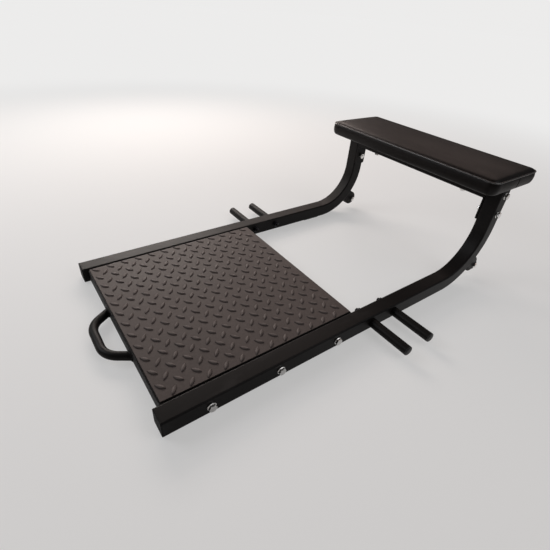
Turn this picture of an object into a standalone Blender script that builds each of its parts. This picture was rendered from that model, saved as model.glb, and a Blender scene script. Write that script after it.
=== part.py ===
"""Hip thrust bench: two bent rails, a treaded foot platform with a carrying handle,
four band pegs, a padded back rest on a crossbar and two transport wheels.

Lengths are in metres. +Z is up from the floor, +Y runs from the handle at the front to
the pad at the rear and +X is to the right. The origin is on the floor, midway along and
midway across the bench. Places along the bench are given as distances behind the rails'
front ends, and the function along() turns them into Y.
"""
import math

import bmesh
import bpy
from mathutils import Matrix, Vector

# Gap left between faces that touch on the real bench
GAP = 0.0003

# Points this close are one point, and edges turned by more than this angle stay sharp
WELD = 0.00001
SHARP_ANGLE = math.radians(35)

# Side rails: one square tube each, bent up at the rear into a post
RAIL_SIZE = 0.050
RAIL_WALL = 0.0025
RAIL_CORNER = 0.005
RAIL_SPACING = 0.600
BEND_START = 1.030
BEND_RADIUS = 0.180
BEND_STEPS = 12
CORNER_STEPS = 2

# Plastic end caps: a flange over the tube's end and a plug inside it
CAP_FLANGE = 0.003
CAP_PLUG = 0.012

# Rubber pads under the rails
FOOT_MARGIN = 0.005
FOOT_LENGTH = 0.080
FOOT_THICK = 0.003
FOOT_SETBACK = 0.020

# Foot platform: a welded frame of flat tubes, a steel deck and a rubber tread mat
PLATFORM_FRONT = 0.017
PLATFORM_LENGTH = 0.604
BAR_HEIGHT = 0.040
BAR_WIDTH = 0.020
BAR_WALL = 0.0015
BAR_CORNER = 0.002
DECK_SETBACK = 0.004
DECK_SIDE_GAP = 0.005
DECK_THICK = 0.0015
MAT_THICK = 0.0055
MAT_ROUNDING = 0.001
PLATFORM_BOLT_SETBACK = 0.103
PLATFORM_BOLT_COUNT = 3

# Carrying handle: a round tube bent into a shallow bow
HANDLE_DIAMETER = 0.025
HANDLE_ROOT_HALF = 0.099
HANDLE_BAR_HALF = 0.063
HANDLE_REACH = 0.0565
HANDLE_BEND = 0.060
HANDLE_STEPS = 6
HANDLE_ROUNDNESS = 4

# Band pegs: a round tube with a threaded stud, held by a nut inside the rail
PEG_DIAMETER = 0.030
PEG_WALL = 0.0025
PEG_LENGTH = 0.135
PEG_ROOT = 0.008
PEG_SETBACK = 0.042
PEG_PITCH = 0.100
PEG_CAP_DOME = 0.006
PEG_CAP_PLUG = 0.012
PEG_CAP_STEPS = 4
PEG_STEPS = 20

# Back rest: crossbar with end plates, plywood board and cushion
PAD_BASE_HEIGHT = 0.355
PAD_OVERHANG = 0.0165
PAD_DEPTH = 0.274
PAD_THICK = 0.056
PAD_CORNER = 0.028
# Cushion rings from the underside up: how far in from the outline, how high as a share
PAD_RINGS = ((0.034, 0.0), (0.006, 0.0), (0.001, 0.20), (0.0, 0.62), (0.002, 0.86),
             (0.010, 0.945), (0.045, 0.975), (0.100, 1.0))
PAD_LONG_STEPS = 7
PAD_SHORT_STEPS = 2
BOARD_THICK = 0.015
BOARD_INSET = 0.012
CROSSBAR_SIZE = 0.050
PLATE_THICK = 0.006
PLATE_END = 0.034
POST_BOLT_DROP = 0.025
POST_BOLT_PITCH = 0.068
PAD_BOLT_SETBACK = 0.0887
PAD_BOLT_SHORT = 0.003

# Transport wheels, each on a bolt between two ears behind the rail's bend
WHEEL_RADIUS = 0.030
WHEEL_SIDE_GAP = 0.003
WHEEL_STEPS = 24
TYRE_DEPTH = 0.010
TYRE_CHAMFER = 0.003
HUB_RIM = 0.003
HUB_WEB = 0.006
HUB_BOSS = 0.0105
WHEEL_CLEARANCE = 0.0075
WHEEL_SLOPE = math.radians(40.6)
EAR_THICK = 0.004
EAR_INSET = 0.002
EAR_BOSS = 0.016
EAR_FOOT_HALF = 0.024
EAR_BOSS_STEPS = 10
EAR_FOOT_STEPS = 6
RUN_GAP = 0.0004

# Fasteners: hexagon bolts of one size, and a thinner one as each wheel's axle
BOLT_RADIUS = 0.006
BOLT_FLATS = 0.019
AXLE_RADIUS = 0.005
AXLE_FLATS = 0.016
HEAD_HEIGHT = 0.0075
NUT_HEIGHT = 0.010
WASHER_RADIUS = 0.012
WASHER_THICK = 0.0025
THREAD_SHOW = 0.003
BOLT_CLEARANCE = 0.0005
ROUND_STEPS = 12

# Heights and places that follow from the sizes above
RAIL_BOTTOM = FOOT_THICK + GAP
RAIL_AXIS = RAIL_BOTTOM + RAIL_SIZE / 2
RAIL_X = (RAIL_SPACING + RAIL_SIZE) / 2
POST_Y = BEND_START + BEND_RADIUS
BEND_HEIGHT = RAIL_AXIS + BEND_RADIUS
FRAME_TOP = PAD_BASE_HEIGHT - GAP
CROSSBAR_HEIGHT = FRAME_TOP - CROSSBAR_SIZE / 2
HANDLE_HEIGHT = RAIL_AXIS - BAR_HEIGHT / 2 + HANDLE_DIAMETER / 2
PLATFORM_REAR = PLATFORM_FRONT + PLATFORM_LENGTH
PAD_LENGTH = RAIL_SPACING + 2 * (RAIL_SIZE + PAD_OVERHANG)
FRONT_TIP = PLATFORM_FRONT - HANDLE_REACH - HANDLE_DIAMETER / 2
REAR_TIP = POST_Y + PAD_DEPTH / 2
CENTRE = (FRONT_TIP + REAR_TIP) / 2
FRAME_WIDTH = RAIL_SPACING - 2 * GAP
HOLE_RADIUS = BOLT_RADIUS + BOLT_CLEARANCE
SIDES = (("left", -1), ("right", 1))

BLACK = (0.012, 0.012, 0.013)


def along(distance):
    """Y of a place that lies this far behind the rails' front ends."""
    return distance - CENTRE


def make_collection(name):
    """A new collection, linked to the scene."""
    group = bpy.data.collections.new(name)
    bpy.context.scene.collection.children.link(group)
    return group


def make_material(name, colour, roughness, metallic=0.0):
    """A plain finish: one colour, roughness and metallic value."""
    finish = bpy.data.materials.new(name)
    finish.use_nodes = True
    shader = finish.node_tree.nodes["Principled BSDF"]
    shader.inputs["Base Color"].default_value = (*colour, 1.0)
    shader.inputs["Roughness"].default_value = roughness
    shader.inputs["Metallic"].default_value = metallic
    return finish


for old in list(bpy.data.objects):
    bpy.data.objects.remove(old, do_unlink=True)

PARTS = make_collection("hip_thrust_bench")
CUTTERS = make_collection("cutters")

POWDER_COAT = make_material("powder_coat", BLACK, 0.42)
END_PLASTIC = make_material("end_plastic", (0.02, 0.02, 0.021), 0.5)
FOOT_RUBBER = make_material("foot_rubber", (0.015, 0.015, 0.015), 0.85)
TREAD_RUBBER = make_material("tread_rubber", (0.035, 0.033, 0.032), 0.6)
PAD_VINYL = make_material("pad_vinyl", (0.014, 0.012, 0.012), 0.33)
BOARD_WOOD = make_material("board_wood", (0.55, 0.40, 0.24), 0.7)
ZINC = make_material("zinc", (0.72, 0.71, 0.69), 0.3, 1.0)
WHEEL_RUBBER = make_material("wheel_rubber", (0.02, 0.02, 0.02), 0.7)
HUB_PLASTIC = make_material("hub_plastic", (0.05, 0.05, 0.05), 0.45)


# Building helpers

def place(shape, name, finish, location=(0, 0, 0), rotation=(0, 0, 0), group=PARTS):
    """Link a mesh or a curve as a named object."""
    piece = bpy.data.objects.new(name, shape)
    piece.location = location
    piece.rotation_euler = rotation
    if finish:
        shape.materials.append(finish)
    group.objects.link(piece)
    return piece


def mesh_of(bm, name):
    """Move a bmesh into a new mesh with its faces pointing out."""
    bmesh.ops.recalc_face_normals(bm, faces=bm.faces)
    mesh = bpy.data.meshes.new(name)
    bm.to_mesh(mesh)
    bm.free()
    return mesh


def shade_round(mesh):
    """Smooth shading that stops at the sharp edges."""
    mesh.shade_smooth()
    mesh.set_sharp_from_angle(angle=SHARP_ANGLE)


def finish_mesh(bm, name, finish, location=(0, 0, 0), rotation=(0, 0, 0), rounded=False):
    """Turn a bmesh into an object, shaded smooth between its sharp edges if it is rounded."""
    mesh = mesh_of(bm, name)
    if rounded:
        shade_round(mesh)
    return place(mesh, name, finish, location, rotation)


def block(name, finish, size, centre, rounding=0.0):
    """A box with its centre at the given place and, if asked for, slightly rounded edges."""
    bm = bmesh.new()
    bmesh.ops.create_cube(bm, size=1.0)
    bmesh.ops.scale(bm, vec=size, verts=bm.verts)
    piece = finish_mesh(bm, name, finish, centre)
    if rounding:
        soften = piece.modifiers.new("rounded_edges", "BEVEL")
        soften.width = rounding
        soften.segments = 1
    return piece


def section(bm, width, height, corner, steps, turn):
    """Edges of a rounded rectangle about the origin, turned into place by a matrix."""
    made = bmesh.ops.create_grid(bm, x_segments=1, y_segments=1, size=0.5)
    bmesh.ops.scale(bm, vec=(width, height, 1), verts=made["verts"])
    bmesh.ops.bevel(bm, geom=made["verts"], offset=corner, segments=steps, profile=0.5,
                    affect="VERTICES", offset_type="OFFSET")
    bmesh.ops.delete(bm, geom=list(bm.faces), context="FACES_ONLY")
    bmesh.ops.transform(bm, matrix=turn, verts=bm.verts)
    return list(bm.edges)


def pull(bm, edges, shift):
    """Extrude a ring of edges by a vector and return the new ring."""
    made = bmesh.ops.extrude_edge_only(bm, edges=edges)["geom"]
    corners = [item for item in made if isinstance(item, bmesh.types.BMVert)]
    bmesh.ops.translate(bm, vec=shift, verts=corners)
    ends = set(corners)
    rings = [item for item in made if isinstance(item, bmesh.types.BMEdge)]
    return [edge for edge in rings if edge.verts[0] in ends and edge.verts[1] in ends]


def add_wall(piece, wall):
    """Give an open tube surface its wall, inwards."""
    skin = piece.modifiers.new("wall", "SOLIDIFY")
    skin.thickness = wall
    skin.offset = -1
    skin.use_even_offset = True


# Turns for a section drawn in XY: its normal ends up along X, Y or Z
FACING_X = Matrix(((0, 0, 1), (1, 0, 0), (0, 1, 0))).to_4x4()
FACING_Y = Matrix(((1, 0, 0), (0, 0, 1), (0, 1, 0))).to_4x4()


def box_tube(name, width, height, wall, corner, length, turn, centre):
    """A straight hollow section: width and height across, length along its own axis."""
    bm = bmesh.new()
    ring = section(bm, width, height, corner, CORNER_STEPS, turn)
    run = (turn @ Vector((0, 0, length))).to_3d()
    bmesh.ops.translate(bm, vec=-run / 2, verts=bm.verts)
    pull(bm, ring, run)
    piece = finish_mesh(bm, name, POWDER_COAT, centre)
    add_wall(piece, wall)
    return piece


def round_rods(name, spots, radius, length, turn):
    """A cutter of straight rods, one centred on each spot."""
    bm = bmesh.new()
    for spot in spots:
        bmesh.ops.create_cone(bm, cap_ends=True, segments=ROUND_STEPS, radius1=radius,
                              radius2=radius, depth=length,
                              matrix=Matrix.Translation(spot) @ turn)
    return place(mesh_of(bm, name), name, None, group=CUTTERS)


def cut(piece, cutter):
    """Take the cutter out of the piece."""
    cutter.hide_render = True
    cutter.display_type = "WIRE"
    hole = piece.modifiers.new(cutter.name, "BOOLEAN")
    hole.operation = "DIFFERENCE"
    hole.object = cutter
    hole.solver = "EXACT"


def turned(name, finish, profile, steps, location, rotation, closed):
    """A turned piece: a profile of radius and height, swept round the local Z axis."""
    bm = bmesh.new()
    points = [bm.verts.new((radius, 0, height)) for radius, height in profile]
    for first, second in zip(points, points[1:]):
        bm.edges.new((first, second))
    if closed:
        bm.edges.new((points[-1], points[0]))
    mesh = bpy.data.meshes.new(name)
    bm.to_mesh(mesh)
    bm.free()
    piece = place(mesh, name, finish, location, rotation)
    sweep = piece.modifiers.new("sweep", "SCREW")
    sweep.steps = steps
    sweep.render_steps = steps
    sweep.use_merge_vertices = True
    sweep.merge_threshold = WELD
    bpy.context.view_layer.update()
    graph = bpy.context.evaluated_depsgraph_get()
    swept = bpy.data.meshes.new_from_object(piece.evaluated_get(graph))
    piece.modifiers.clear()
    piece.data = swept
    shade_round(swept)


def curve_mesh(curve_object, name, finish):
    """Replace a curve object by a mesh object with its caps welded on."""
    bpy.context.view_layer.update()
    graph = bpy.context.evaluated_depsgraph_get()
    mesh = bpy.data.meshes.new_from_object(curve_object.evaluated_get(graph))
    where = curve_object.matrix_world.copy()
    bpy.data.objects.remove(curve_object, do_unlink=True)
    bm = bmesh.new()
    bm.from_mesh(mesh)
    bmesh.ops.remove_doubles(bm, verts=bm.verts, dist=WELD)
    bmesh.ops.recalc_face_normals(bm, faces=bm.faces)
    bm.to_mesh(mesh)
    bm.free()
    mesh.name = name
    mesh.materials.clear()
    piece = place(mesh, name, finish)
    piece.matrix_world = where
    return piece


# Fasteners, built along local Z with the bearing face of the head or nut at z = 0

def round_ring(radius, height):
    """Radius at the even and at the odd points of a ring, and its height."""
    return radius, radius, height


def hex_ring(flats, height):
    """The same for a hexagon: its corners are the even points."""
    return flats / math.sqrt(3), flats / 2, height


def stack(bm, rings):
    """A surface through rings of twelve points each; returns the first and the last ring."""
    bmesh.ops.create_circle(bm, segments=ROUND_STEPS, radius=1)
    first = list(bm.edges)
    ring = first
    for number, (even, odd, height) in enumerate(rings):
        if number:
            ring = pull(bm, ring, (0, 0, 0))
        for vert in {vert for edge in ring for vert in edge.verts}:
            angle = math.atan2(vert.co.y, vert.co.x)
            step = round(angle * ROUND_STEPS / (2 * math.pi))
            radius = odd if step % 2 else even
            vert.co = (radius * math.cos(angle), radius * math.sin(angle), height)
    return first, ring


def bolt(name, location, rotation, reach, grip=0.0, washer=True, radius=BOLT_RADIUS,
         flats=BOLT_FLATS):
    """Hexagon bolt as one solid with its washer and, where it has a grip, with its nut.

    The shank goes down to -reach. The nut, if any, bears on the far side, at -grip.
    """
    rings = [round_ring(radius, -reach)]
    if grip:
        nut_end = -grip - NUT_HEIGHT
        rings += [round_ring(radius, nut_end), hex_ring(flats, nut_end),
                  hex_ring(flats, -grip), round_ring(radius, -grip)]
    rings.append(round_ring(radius, 0))
    head_start = 0
    if washer:
        head_start = WASHER_THICK
        rings += [round_ring(WASHER_RADIUS, 0), round_ring(WASHER_RADIUS, head_start)]
    rings += [hex_ring(flats, head_start), hex_ring(flats, head_start + HEAD_HEIGHT)]
    bm = bmesh.new()
    for ring in stack(bm, rings):
        bmesh.ops.contextual_create(bm, geom=ring)
    finish_mesh(bm, name, ZINC, location, rotation, rounded=True)


def washer_nut(name, location, rotation):
    """Hexagon nut as one solid with the washer under it."""
    top = WASHER_THICK + NUT_HEIGHT
    bm = bmesh.new()
    stack(bm, [round_ring(HOLE_RADIUS, 0), round_ring(WASHER_RADIUS, 0),
               round_ring(WASHER_RADIUS, WASHER_THICK), hex_ring(BOLT_FLATS, WASHER_THICK),
               hex_ring(BOLT_FLATS, top), round_ring(HOLE_RADIUS, top),
               round_ring(HOLE_RADIUS, 0)])
    bmesh.ops.remove_doubles(bm, verts=bm.verts, dist=WELD)
    finish_mesh(bm, name, ZINC, location, rotation, rounded=True)


def outwards(side):
    """Rotation that points local Z along X, to the left (-1) or the right (1)."""
    return (0, side * math.pi / 2, 0)


# Places of the holes and fasteners that run across the rails

PLATFORM_BOLT_FIRST = PLATFORM_FRONT + PLATFORM_BOLT_SETBACK
PLATFORM_BOLT_RUN = PLATFORM_LENGTH - 2 * PLATFORM_BOLT_SETBACK
PLATFORM_BOLT_PLACES = [PLATFORM_BOLT_FIRST + PLATFORM_BOLT_RUN * number / (PLATFORM_BOLT_COUNT - 1)
                        for number in range(PLATFORM_BOLT_COUNT)]
PEG_FIRST = PLATFORM_REAR + PEG_SETBACK
PEG_PLACES = (("front", PEG_FIRST), ("rear", PEG_FIRST + PEG_PITCH))
POST_BOLT_TOP = FRAME_TOP - POST_BOLT_DROP
POST_BOLT_HEIGHTS = (("upper", POST_BOLT_TOP), ("lower", POST_BOLT_TOP - POST_BOLT_PITCH))
RAIL_OUTER = RAIL_X + RAIL_SIZE / 2
RAIL_INNER = RAIL_X - RAIL_SIZE / 2
PLATE_INNER = RAIL_INNER - GAP - PLATE_THICK
PAD_BOLT_X = PLATE_INNER - PAD_BOLT_SETBACK
EAR_SPACE = RAIL_SIZE - 2 * (EAR_INSET + EAR_THICK)
BAR_INNER = FRAME_WIDTH / 2 - BAR_WIDTH
WHEEL_WIDTH = EAR_SPACE - 2 * WHEEL_SIDE_GAP


def rail_holes():
    """Along and height of every hole that goes across a rail."""
    low = [(where, RAIL_AXIS) for where in PLATFORM_BOLT_PLACES]
    low += [(where, RAIL_AXIS) for _, where in PEG_PLACES]
    return low + [(POST_Y, height) for _, height in POST_BOLT_HEIGHTS]


# The pieces

def side_rail(name, side):
    """Square tube: straight on the floor, a quarter bend, then the post under the pad."""
    front = CAP_FLANGE + GAP
    post_top = FRAME_TOP - CAP_FLANGE - GAP
    bm = bmesh.new()
    ring = section(bm, RAIL_SIZE, RAIL_SIZE, RAIL_CORNER, CORNER_STEPS, FACING_Y)
    ring = pull(bm, ring, (0, BEND_START - front, 0))
    swept = bmesh.ops.spin(bm, geom=ring, cent=(0, BEND_START - front, BEND_RADIUS),
                           axis=(1, 0, 0), angle=math.pi / 2, steps=BEND_STEPS)
    ring = [item for item in swept["geom_last"] if isinstance(item, bmesh.types.BMEdge)]
    pull(bm, ring, (0, 0, post_top - BEND_HEIGHT))
    rail = finish_mesh(bm, name, POWDER_COAT, (side * RAIL_X, along(front), RAIL_AXIS),
                       rounded=True)
    add_wall(rail, RAIL_WALL)
    spots = [(side * RAIL_X, along(where), height) for where, height in rail_holes()]
    cut(rail, round_rods(name + "_holes", spots, HOLE_RADIUS, 2 * RAIL_SIZE, FACING_X))


def end_cap(name, location, rotation):
    """Flange in the XY plane with its plug running down local Z."""
    plug = RAIL_SIZE - 2 * (RAIL_WALL + GAP)
    bm = bmesh.new()
    ring = section(bm, RAIL_SIZE, RAIL_SIZE, RAIL_CORNER, CORNER_STEPS, Matrix())
    lid = bmesh.ops.contextual_create(bm, geom=ring)["faces"][0]
    base = bmesh.ops.extrude_face_region(bm, geom=[lid])["geom"]
    lower = [item for item in base if isinstance(item, bmesh.types.BMVert)]
    bmesh.ops.translate(bm, vec=(0, 0, -CAP_FLANGE), verts=lower)
    flange = [item for item in base if isinstance(item, bmesh.types.BMFace)]
    bmesh.ops.inset_region(bm, faces=flange, thickness=(RAIL_SIZE - plug) / 2)
    stem = bmesh.ops.extrude_face_region(bm, geom=flange)["geom"]
    bmesh.ops.translate(bm, vec=(0, 0, -CAP_PLUG),
                        verts=[item for item in stem if isinstance(item, bmesh.types.BMVert)])
    bmesh.ops.delete(bm, geom=flange, context="FACES_ONLY")
    finish_mesh(bm, name, END_PLASTIC, location, rotation)


def foot_pad(name, side, start):
    """Rubber strip between the rail and the floor."""
    block(name, FOOT_RUBBER, (RAIL_SIZE - 2 * FOOT_MARGIN, FOOT_LENGTH, FOOT_THICK),
          (side * RAIL_X, along(start + FOOT_LENGTH / 2), FOOT_THICK / 2))


def platform_frame():
    """Front and rear bars across the bench, side and cross bars between them."""
    for name, centre in (("platform_front_bar", PLATFORM_FRONT + BAR_WIDTH / 2),
                         ("platform_rear_bar", PLATFORM_REAR - BAR_WIDTH / 2)):
        box_tube(name, BAR_WIDTH, BAR_HEIGHT, BAR_WALL, BAR_CORNER, FRAME_WIDTH, FACING_X,
                 (0, along(centre), RAIL_AXIS))
    side_length = PLATFORM_LENGTH - 2 * (BAR_WIDTH + GAP)
    middle = (PLATFORM_FRONT + PLATFORM_REAR) / 2
    for word, side in SIDES:
        bar_x = side * (FRAME_WIDTH - BAR_WIDTH) / 2
        bar = box_tube("platform_side_bar_" + word, BAR_WIDTH, BAR_HEIGHT, BAR_WALL, BAR_CORNER,
                       side_length, FACING_Y, (bar_x, along(middle), RAIL_AXIS))
        spots = [(bar_x, along(where), RAIL_AXIS) for where in PLATFORM_BOLT_PLACES]
        cut(bar, round_rods(bar.name + "_holes", spots, HOLE_RADIUS, 2 * BAR_WIDTH, FACING_X))
    for word, share in (("front", 1 / 3), ("rear", 2 / 3)):
        box_tube("platform_cross_bar_" + word, BAR_WIDTH, BAR_HEIGHT, BAR_WALL, BAR_CORNER,
                 2 * (BAR_INNER - GAP), FACING_X,
                 (0, along(PLATFORM_FRONT + PLATFORM_LENGTH * share), RAIL_AXIS))


def platform_top():
    """Steel deck on the bars and the rubber mat on the deck."""
    width = RAIL_SPACING - 2 * DECK_SIDE_GAP
    length = PLATFORM_LENGTH - 2 * DECK_SETBACK
    middle = along((PLATFORM_FRONT + PLATFORM_REAR) / 2)
    deck_bottom = RAIL_AXIS + BAR_HEIGHT / 2 + GAP
    mat_bottom = deck_bottom + DECK_THICK + GAP
    block("deck_plate", POWDER_COAT, (width, length, DECK_THICK),
          (0, middle, deck_bottom + DECK_THICK / 2))
    block("tread_mat", TREAD_RUBBER, (width, length, MAT_THICK),
          (0, middle, mat_bottom + MAT_THICK / 2), rounding=MAT_ROUNDING)


def rounded_path(corners, radius, steps):
    """Points along a path of straight runs whose inner corners are turned into arcs."""
    points = [corners[0]]
    for before, corner, after in zip(corners, corners[1:], corners[2:]):
        back = (before - corner).normalized()
        ahead = (after - corner).normalized()
        half = back.angle(ahead) / 2
        centre = corner + (back + ahead).normalized() * radius / math.sin(half)
        start = corner + back * radius / math.tan(half) - centre
        finish = corner + ahead * radius / math.tan(half) - centre
        turn = start.angle(finish)
        for step in range(steps + 1):
            share = step / steps
            mix = start * math.sin((1 - share) * turn) + finish * math.sin(share * turn)
            points.append(centre + mix / math.sin(turn))
    points.append(corners[-1])
    return points


def front_handle():
    """Bent round tube, cut off square against the platform's front bar."""
    bow = PLATFORM_FRONT - HANDLE_REACH
    slope = (HANDLE_ROOT_HALF - HANDLE_BAR_HALF) / HANDLE_REACH
    overlap = BAR_WIDTH / 2
    root = HANDLE_ROOT_HALF + slope * overlap
    corners = [Vector((-root, PLATFORM_FRONT + overlap, 0)), Vector((-HANDLE_BAR_HALF, bow, 0)),
               Vector((HANDLE_BAR_HALF, bow, 0)), Vector((root, PLATFORM_FRONT + overlap, 0))]
    path = rounded_path(corners, HANDLE_BEND, HANDLE_STEPS)
    line = bpy.data.curves.new("handle_line", "CURVE")
    line.dimensions = "3D"
    line.bevel_depth = HANDLE_DIAMETER / 2
    line.bevel_resolution = HANDLE_ROUNDNESS
    line.use_fill_caps = True
    spline = line.splines.new("POLY")
    spline.points.add(len(path) - 1)
    for point, spot in zip(spline.points, path):
        point.co = (*spot, 1)
    tube = place(line, "handle_line", None, (0, along(0), HANDLE_HEIGHT))
    handle = curve_mesh(tube, "front_handle", POWDER_COAT)
    bm = bmesh.new()
    bmesh.ops.create_cube(bm, size=1.0)
    face = PLATFORM_FRONT - GAP
    trim = place(mesh_of(bm, "handle_trim"), "handle_trim", None,
                 (0, along(face + BAR_WIDTH), HANDLE_HEIGHT), group=CUTTERS)
    trim.scale = (FRAME_WIDTH, 2 * BAR_WIDTH, 2 * BAR_HEIGHT)
    cut(handle, trim)


def band_peg(name, side, where):
    """Tube with a closed root and a threaded stud that goes through the rail to its nut."""
    radius = PEG_DIAMETER / 2
    bore = radius - PEG_WALL
    stud = RAIL_SIZE + WASHER_THICK + NUT_HEIGHT + 2 * THREAD_SHOW + 2 * GAP
    profile = [(0, PEG_ROOT), (bore, PEG_ROOT), (bore, PEG_LENGTH), (radius, PEG_LENGTH),
               (radius, 0), (BOLT_RADIUS, 0), (BOLT_RADIUS, -stud), (0, -stud)]
    spot = (side * (RAIL_OUTER + GAP), along(where), RAIL_AXIS)
    turned(name, POWDER_COAT, profile, PEG_STEPS, spot, outwards(side), closed=False)


def peg_cap(name, side, where):
    """Domed plug in the open end of a peg."""
    radius = PEG_DIAMETER / 2
    plug = radius - PEG_WALL - GAP
    turn = math.pi / 2 / PEG_CAP_STEPS
    dome = [(radius * math.sin(turn * step), PEG_CAP_DOME * math.cos(turn * step))
            for step in range(PEG_CAP_STEPS + 1)]
    profile = dome + [(plug, 0), (plug, -PEG_CAP_PLUG), (0, -PEG_CAP_PLUG)]
    spot = (side * (RAIL_OUTER + 2 * GAP + PEG_LENGTH), along(where), RAIL_AXIS)
    turned(name, END_PLASTIC, profile, PEG_STEPS, spot, outwards(side), closed=False)


def crossbar_and_plates():
    """Square tube between the posts, with a drop plate bolted to each post."""
    bar = box_tube("crossbar", CROSSBAR_SIZE, CROSSBAR_SIZE, RAIL_WALL, RAIL_CORNER,
                   2 * (PLATE_INNER - GAP), FACING_X, (0, along(POST_Y), CROSSBAR_HEIGHT))
    spots = [(side * PAD_BOLT_X, along(POST_Y), CROSSBAR_HEIGHT) for _, side in SIDES]
    cut(bar, round_rods("crossbar_holes", spots, HOLE_RADIUS, 2 * CROSSBAR_SIZE, Matrix()))
    plate_height = POST_BOLT_DROP + POST_BOLT_PITCH + PLATE_END
    for word, side in SIDES:
        plate_x = side * (PLATE_INNER + PLATE_THICK / 2)
        bm = bmesh.new()
        ring = section(bm, CROSSBAR_SIZE, plate_height, RAIL_CORNER, CORNER_STEPS, FACING_X)
        far_ring = pull(bm, ring, (PLATE_THICK, 0, 0))
        bmesh.ops.contextual_create(bm, geom=ring)
        bmesh.ops.contextual_create(bm, geom=far_ring)
        bmesh.ops.translate(bm, vec=(-PLATE_THICK / 2, 0, 0), verts=bm.verts)
        plate = finish_mesh(bm, "crossbar_plate_" + word, POWDER_COAT,
                            (plate_x, along(POST_Y), FRAME_TOP - plate_height / 2))
        spots = [(plate_x, along(POST_Y), height) for _, height in POST_BOLT_HEIGHTS]
        cut(plate, round_rods(plate.name + "_holes", spots, HOLE_RADIUS, 4 * PLATE_THICK,
                              FACING_X))


def board_outline(bm, margin):
    """Walls round the pad board, grown by a margin: the ring at z = 0 and the top ring."""
    length = PAD_LENGTH - 2 * BOARD_INSET + 2 * margin
    depth = PAD_DEPTH - 2 * BOARD_INSET + 2 * margin
    ring = section(bm, length, depth, PAD_CORNER - BOARD_INSET + margin, CORNER_STEPS, Matrix())
    top = pull(bm, ring, (0, 0, BOARD_THICK + margin))
    return ring, top


def pad_board():
    """Plywood board that the bolts come up into."""
    bm = bmesh.new()
    ring, top = board_outline(bm, 0)
    bmesh.ops.contextual_create(bm, geom=ring)
    bmesh.ops.contextual_create(bm, geom=top)
    board = finish_mesh(bm, "pad_board", BOARD_WOOD, (0, along(POST_Y), PAD_BASE_HEIGHT))
    spots = [(side * PAD_BOLT_X, along(POST_Y), PAD_BASE_HEIGHT) for _, side in SIDES]
    cut(board, round_rods("pad_board_holes", spots, HOLE_RADIUS, 4 * BOARD_THICK, Matrix()))


def pad_cushion():
    """Foam under vinyl: rings of a rounded rectangle, drawn in below and crowned above."""
    bm = bmesh.new()
    section(bm, PAD_LENGTH, PAD_DEPTH, PAD_CORNER, CORNER_STEPS, Matrix())
    for length, cuts in ((PAD_LENGTH, PAD_LONG_STEPS), (PAD_DEPTH, PAD_SHORT_STEPS)):
        straight = length - 2 * PAD_CORNER
        sides = [edge for edge in bm.edges if abs(edge.calc_length() - straight) < WELD]
        bmesh.ops.subdivide_edges(bm, edges=sides, cuts=cuts)
    ring = list(bm.edges)
    shrink_ring(ring, 0, PAD_RINGS[0][0])
    bottom = ring
    for (inset, share), (next_inset, next_share) in zip(PAD_RINGS, PAD_RINGS[1:]):
        ring = pull(bm, ring, (0, 0, (next_share - share) * PAD_THICK))
        shrink_ring(ring, inset, next_inset)
    bmesh.ops.contextual_create(bm, geom=bottom)
    bmesh.ops.contextual_create(bm, geom=ring)
    cushion = finish_mesh(bm, "pad_cushion", PAD_VINYL, (0, along(POST_Y), PAD_BASE_HEIGHT))
    cushion.data.shade_smooth()
    soften = cushion.modifiers.new("soft_form", "SUBSURF")
    soften.levels = 1
    soften.render_levels = 1
    bm = bmesh.new()
    low, top = board_outline(bm, GAP)
    deep = pull(bm, low, (0, 0, -BOARD_THICK))
    bmesh.ops.contextual_create(bm, geom=deep)
    bmesh.ops.contextual_create(bm, geom=top)
    cut(cushion, place(mesh_of(bm, "board_recess"), "board_recess", None,
                       (0, along(POST_Y), PAD_BASE_HEIGHT), group=CUTTERS))


def shrink_ring(ring, inset, next_inset):
    """Scale a ring about the origin so that its inset from the pad's outline changes."""
    verts = {vert for edge in ring for vert in edge.verts}
    for axis, length in enumerate((PAD_LENGTH, PAD_DEPTH)):
        factor = (length / 2 - next_inset) / (length / 2 - inset)
        for vert in verts:
            vert.co[axis] *= factor


def wheel_centre(side):
    """Axle point: on a sloping line out of the bend's centre, clear of the rail."""
    reach = BEND_RADIUS + RAIL_SIZE / 2 + WHEEL_CLEARANCE + WHEEL_RADIUS
    return Vector((side * RAIL_X, along(BEND_START) + reach * math.cos(WHEEL_SLOPE),
                   BEND_HEIGHT - reach * math.sin(WHEEL_SLOPE)))


def transport_wheel(word, side):
    """Rubber tyre on a plastic hub that turns about the axle bolt."""
    half = WHEEL_WIDTH / 2
    boss = EAR_SPACE / 2 - RUN_GAP
    seat = WHEEL_RADIUS - TYRE_DEPTH
    centre = wheel_centre(side)
    tyre = [(WHEEL_RADIUS - TYRE_CHAMFER, half), (WHEEL_RADIUS, half - TYRE_CHAMFER),
            (WHEEL_RADIUS, TYRE_CHAMFER - half), (WHEEL_RADIUS - TYRE_CHAMFER, -half),
            (seat, -half), (seat, half)]
    rim = seat - GAP
    groove = rim - HUB_RIM
    bore = AXLE_RADIUS + RUN_GAP
    web = HUB_WEB / 2
    hub = [(rim, half), (rim, -half), (groove, -half), (groove, -web), (HUB_BOSS, -web),
           (HUB_BOSS, -boss), (bore, -boss), (bore, boss), (HUB_BOSS, boss), (HUB_BOSS, web),
           (groove, web), (groove, half)]
    turned("wheel_tyre_" + word, WHEEL_RUBBER, tyre, WHEEL_STEPS, centre, outwards(side),
           closed=True)
    turned("wheel_hub_" + word, HUB_PLASTIC, hub, WHEEL_STEPS, centre, outwards(side),
           closed=True)


def arc(centre, radius, start, end, steps):
    """Points along an arc in the plane, from one angle to another."""
    angles = [start + (end - start) * step / steps for step in range(steps + 1)]
    return [centre + radius * Vector((math.cos(angle), math.sin(angle))) for angle in angles]


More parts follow.
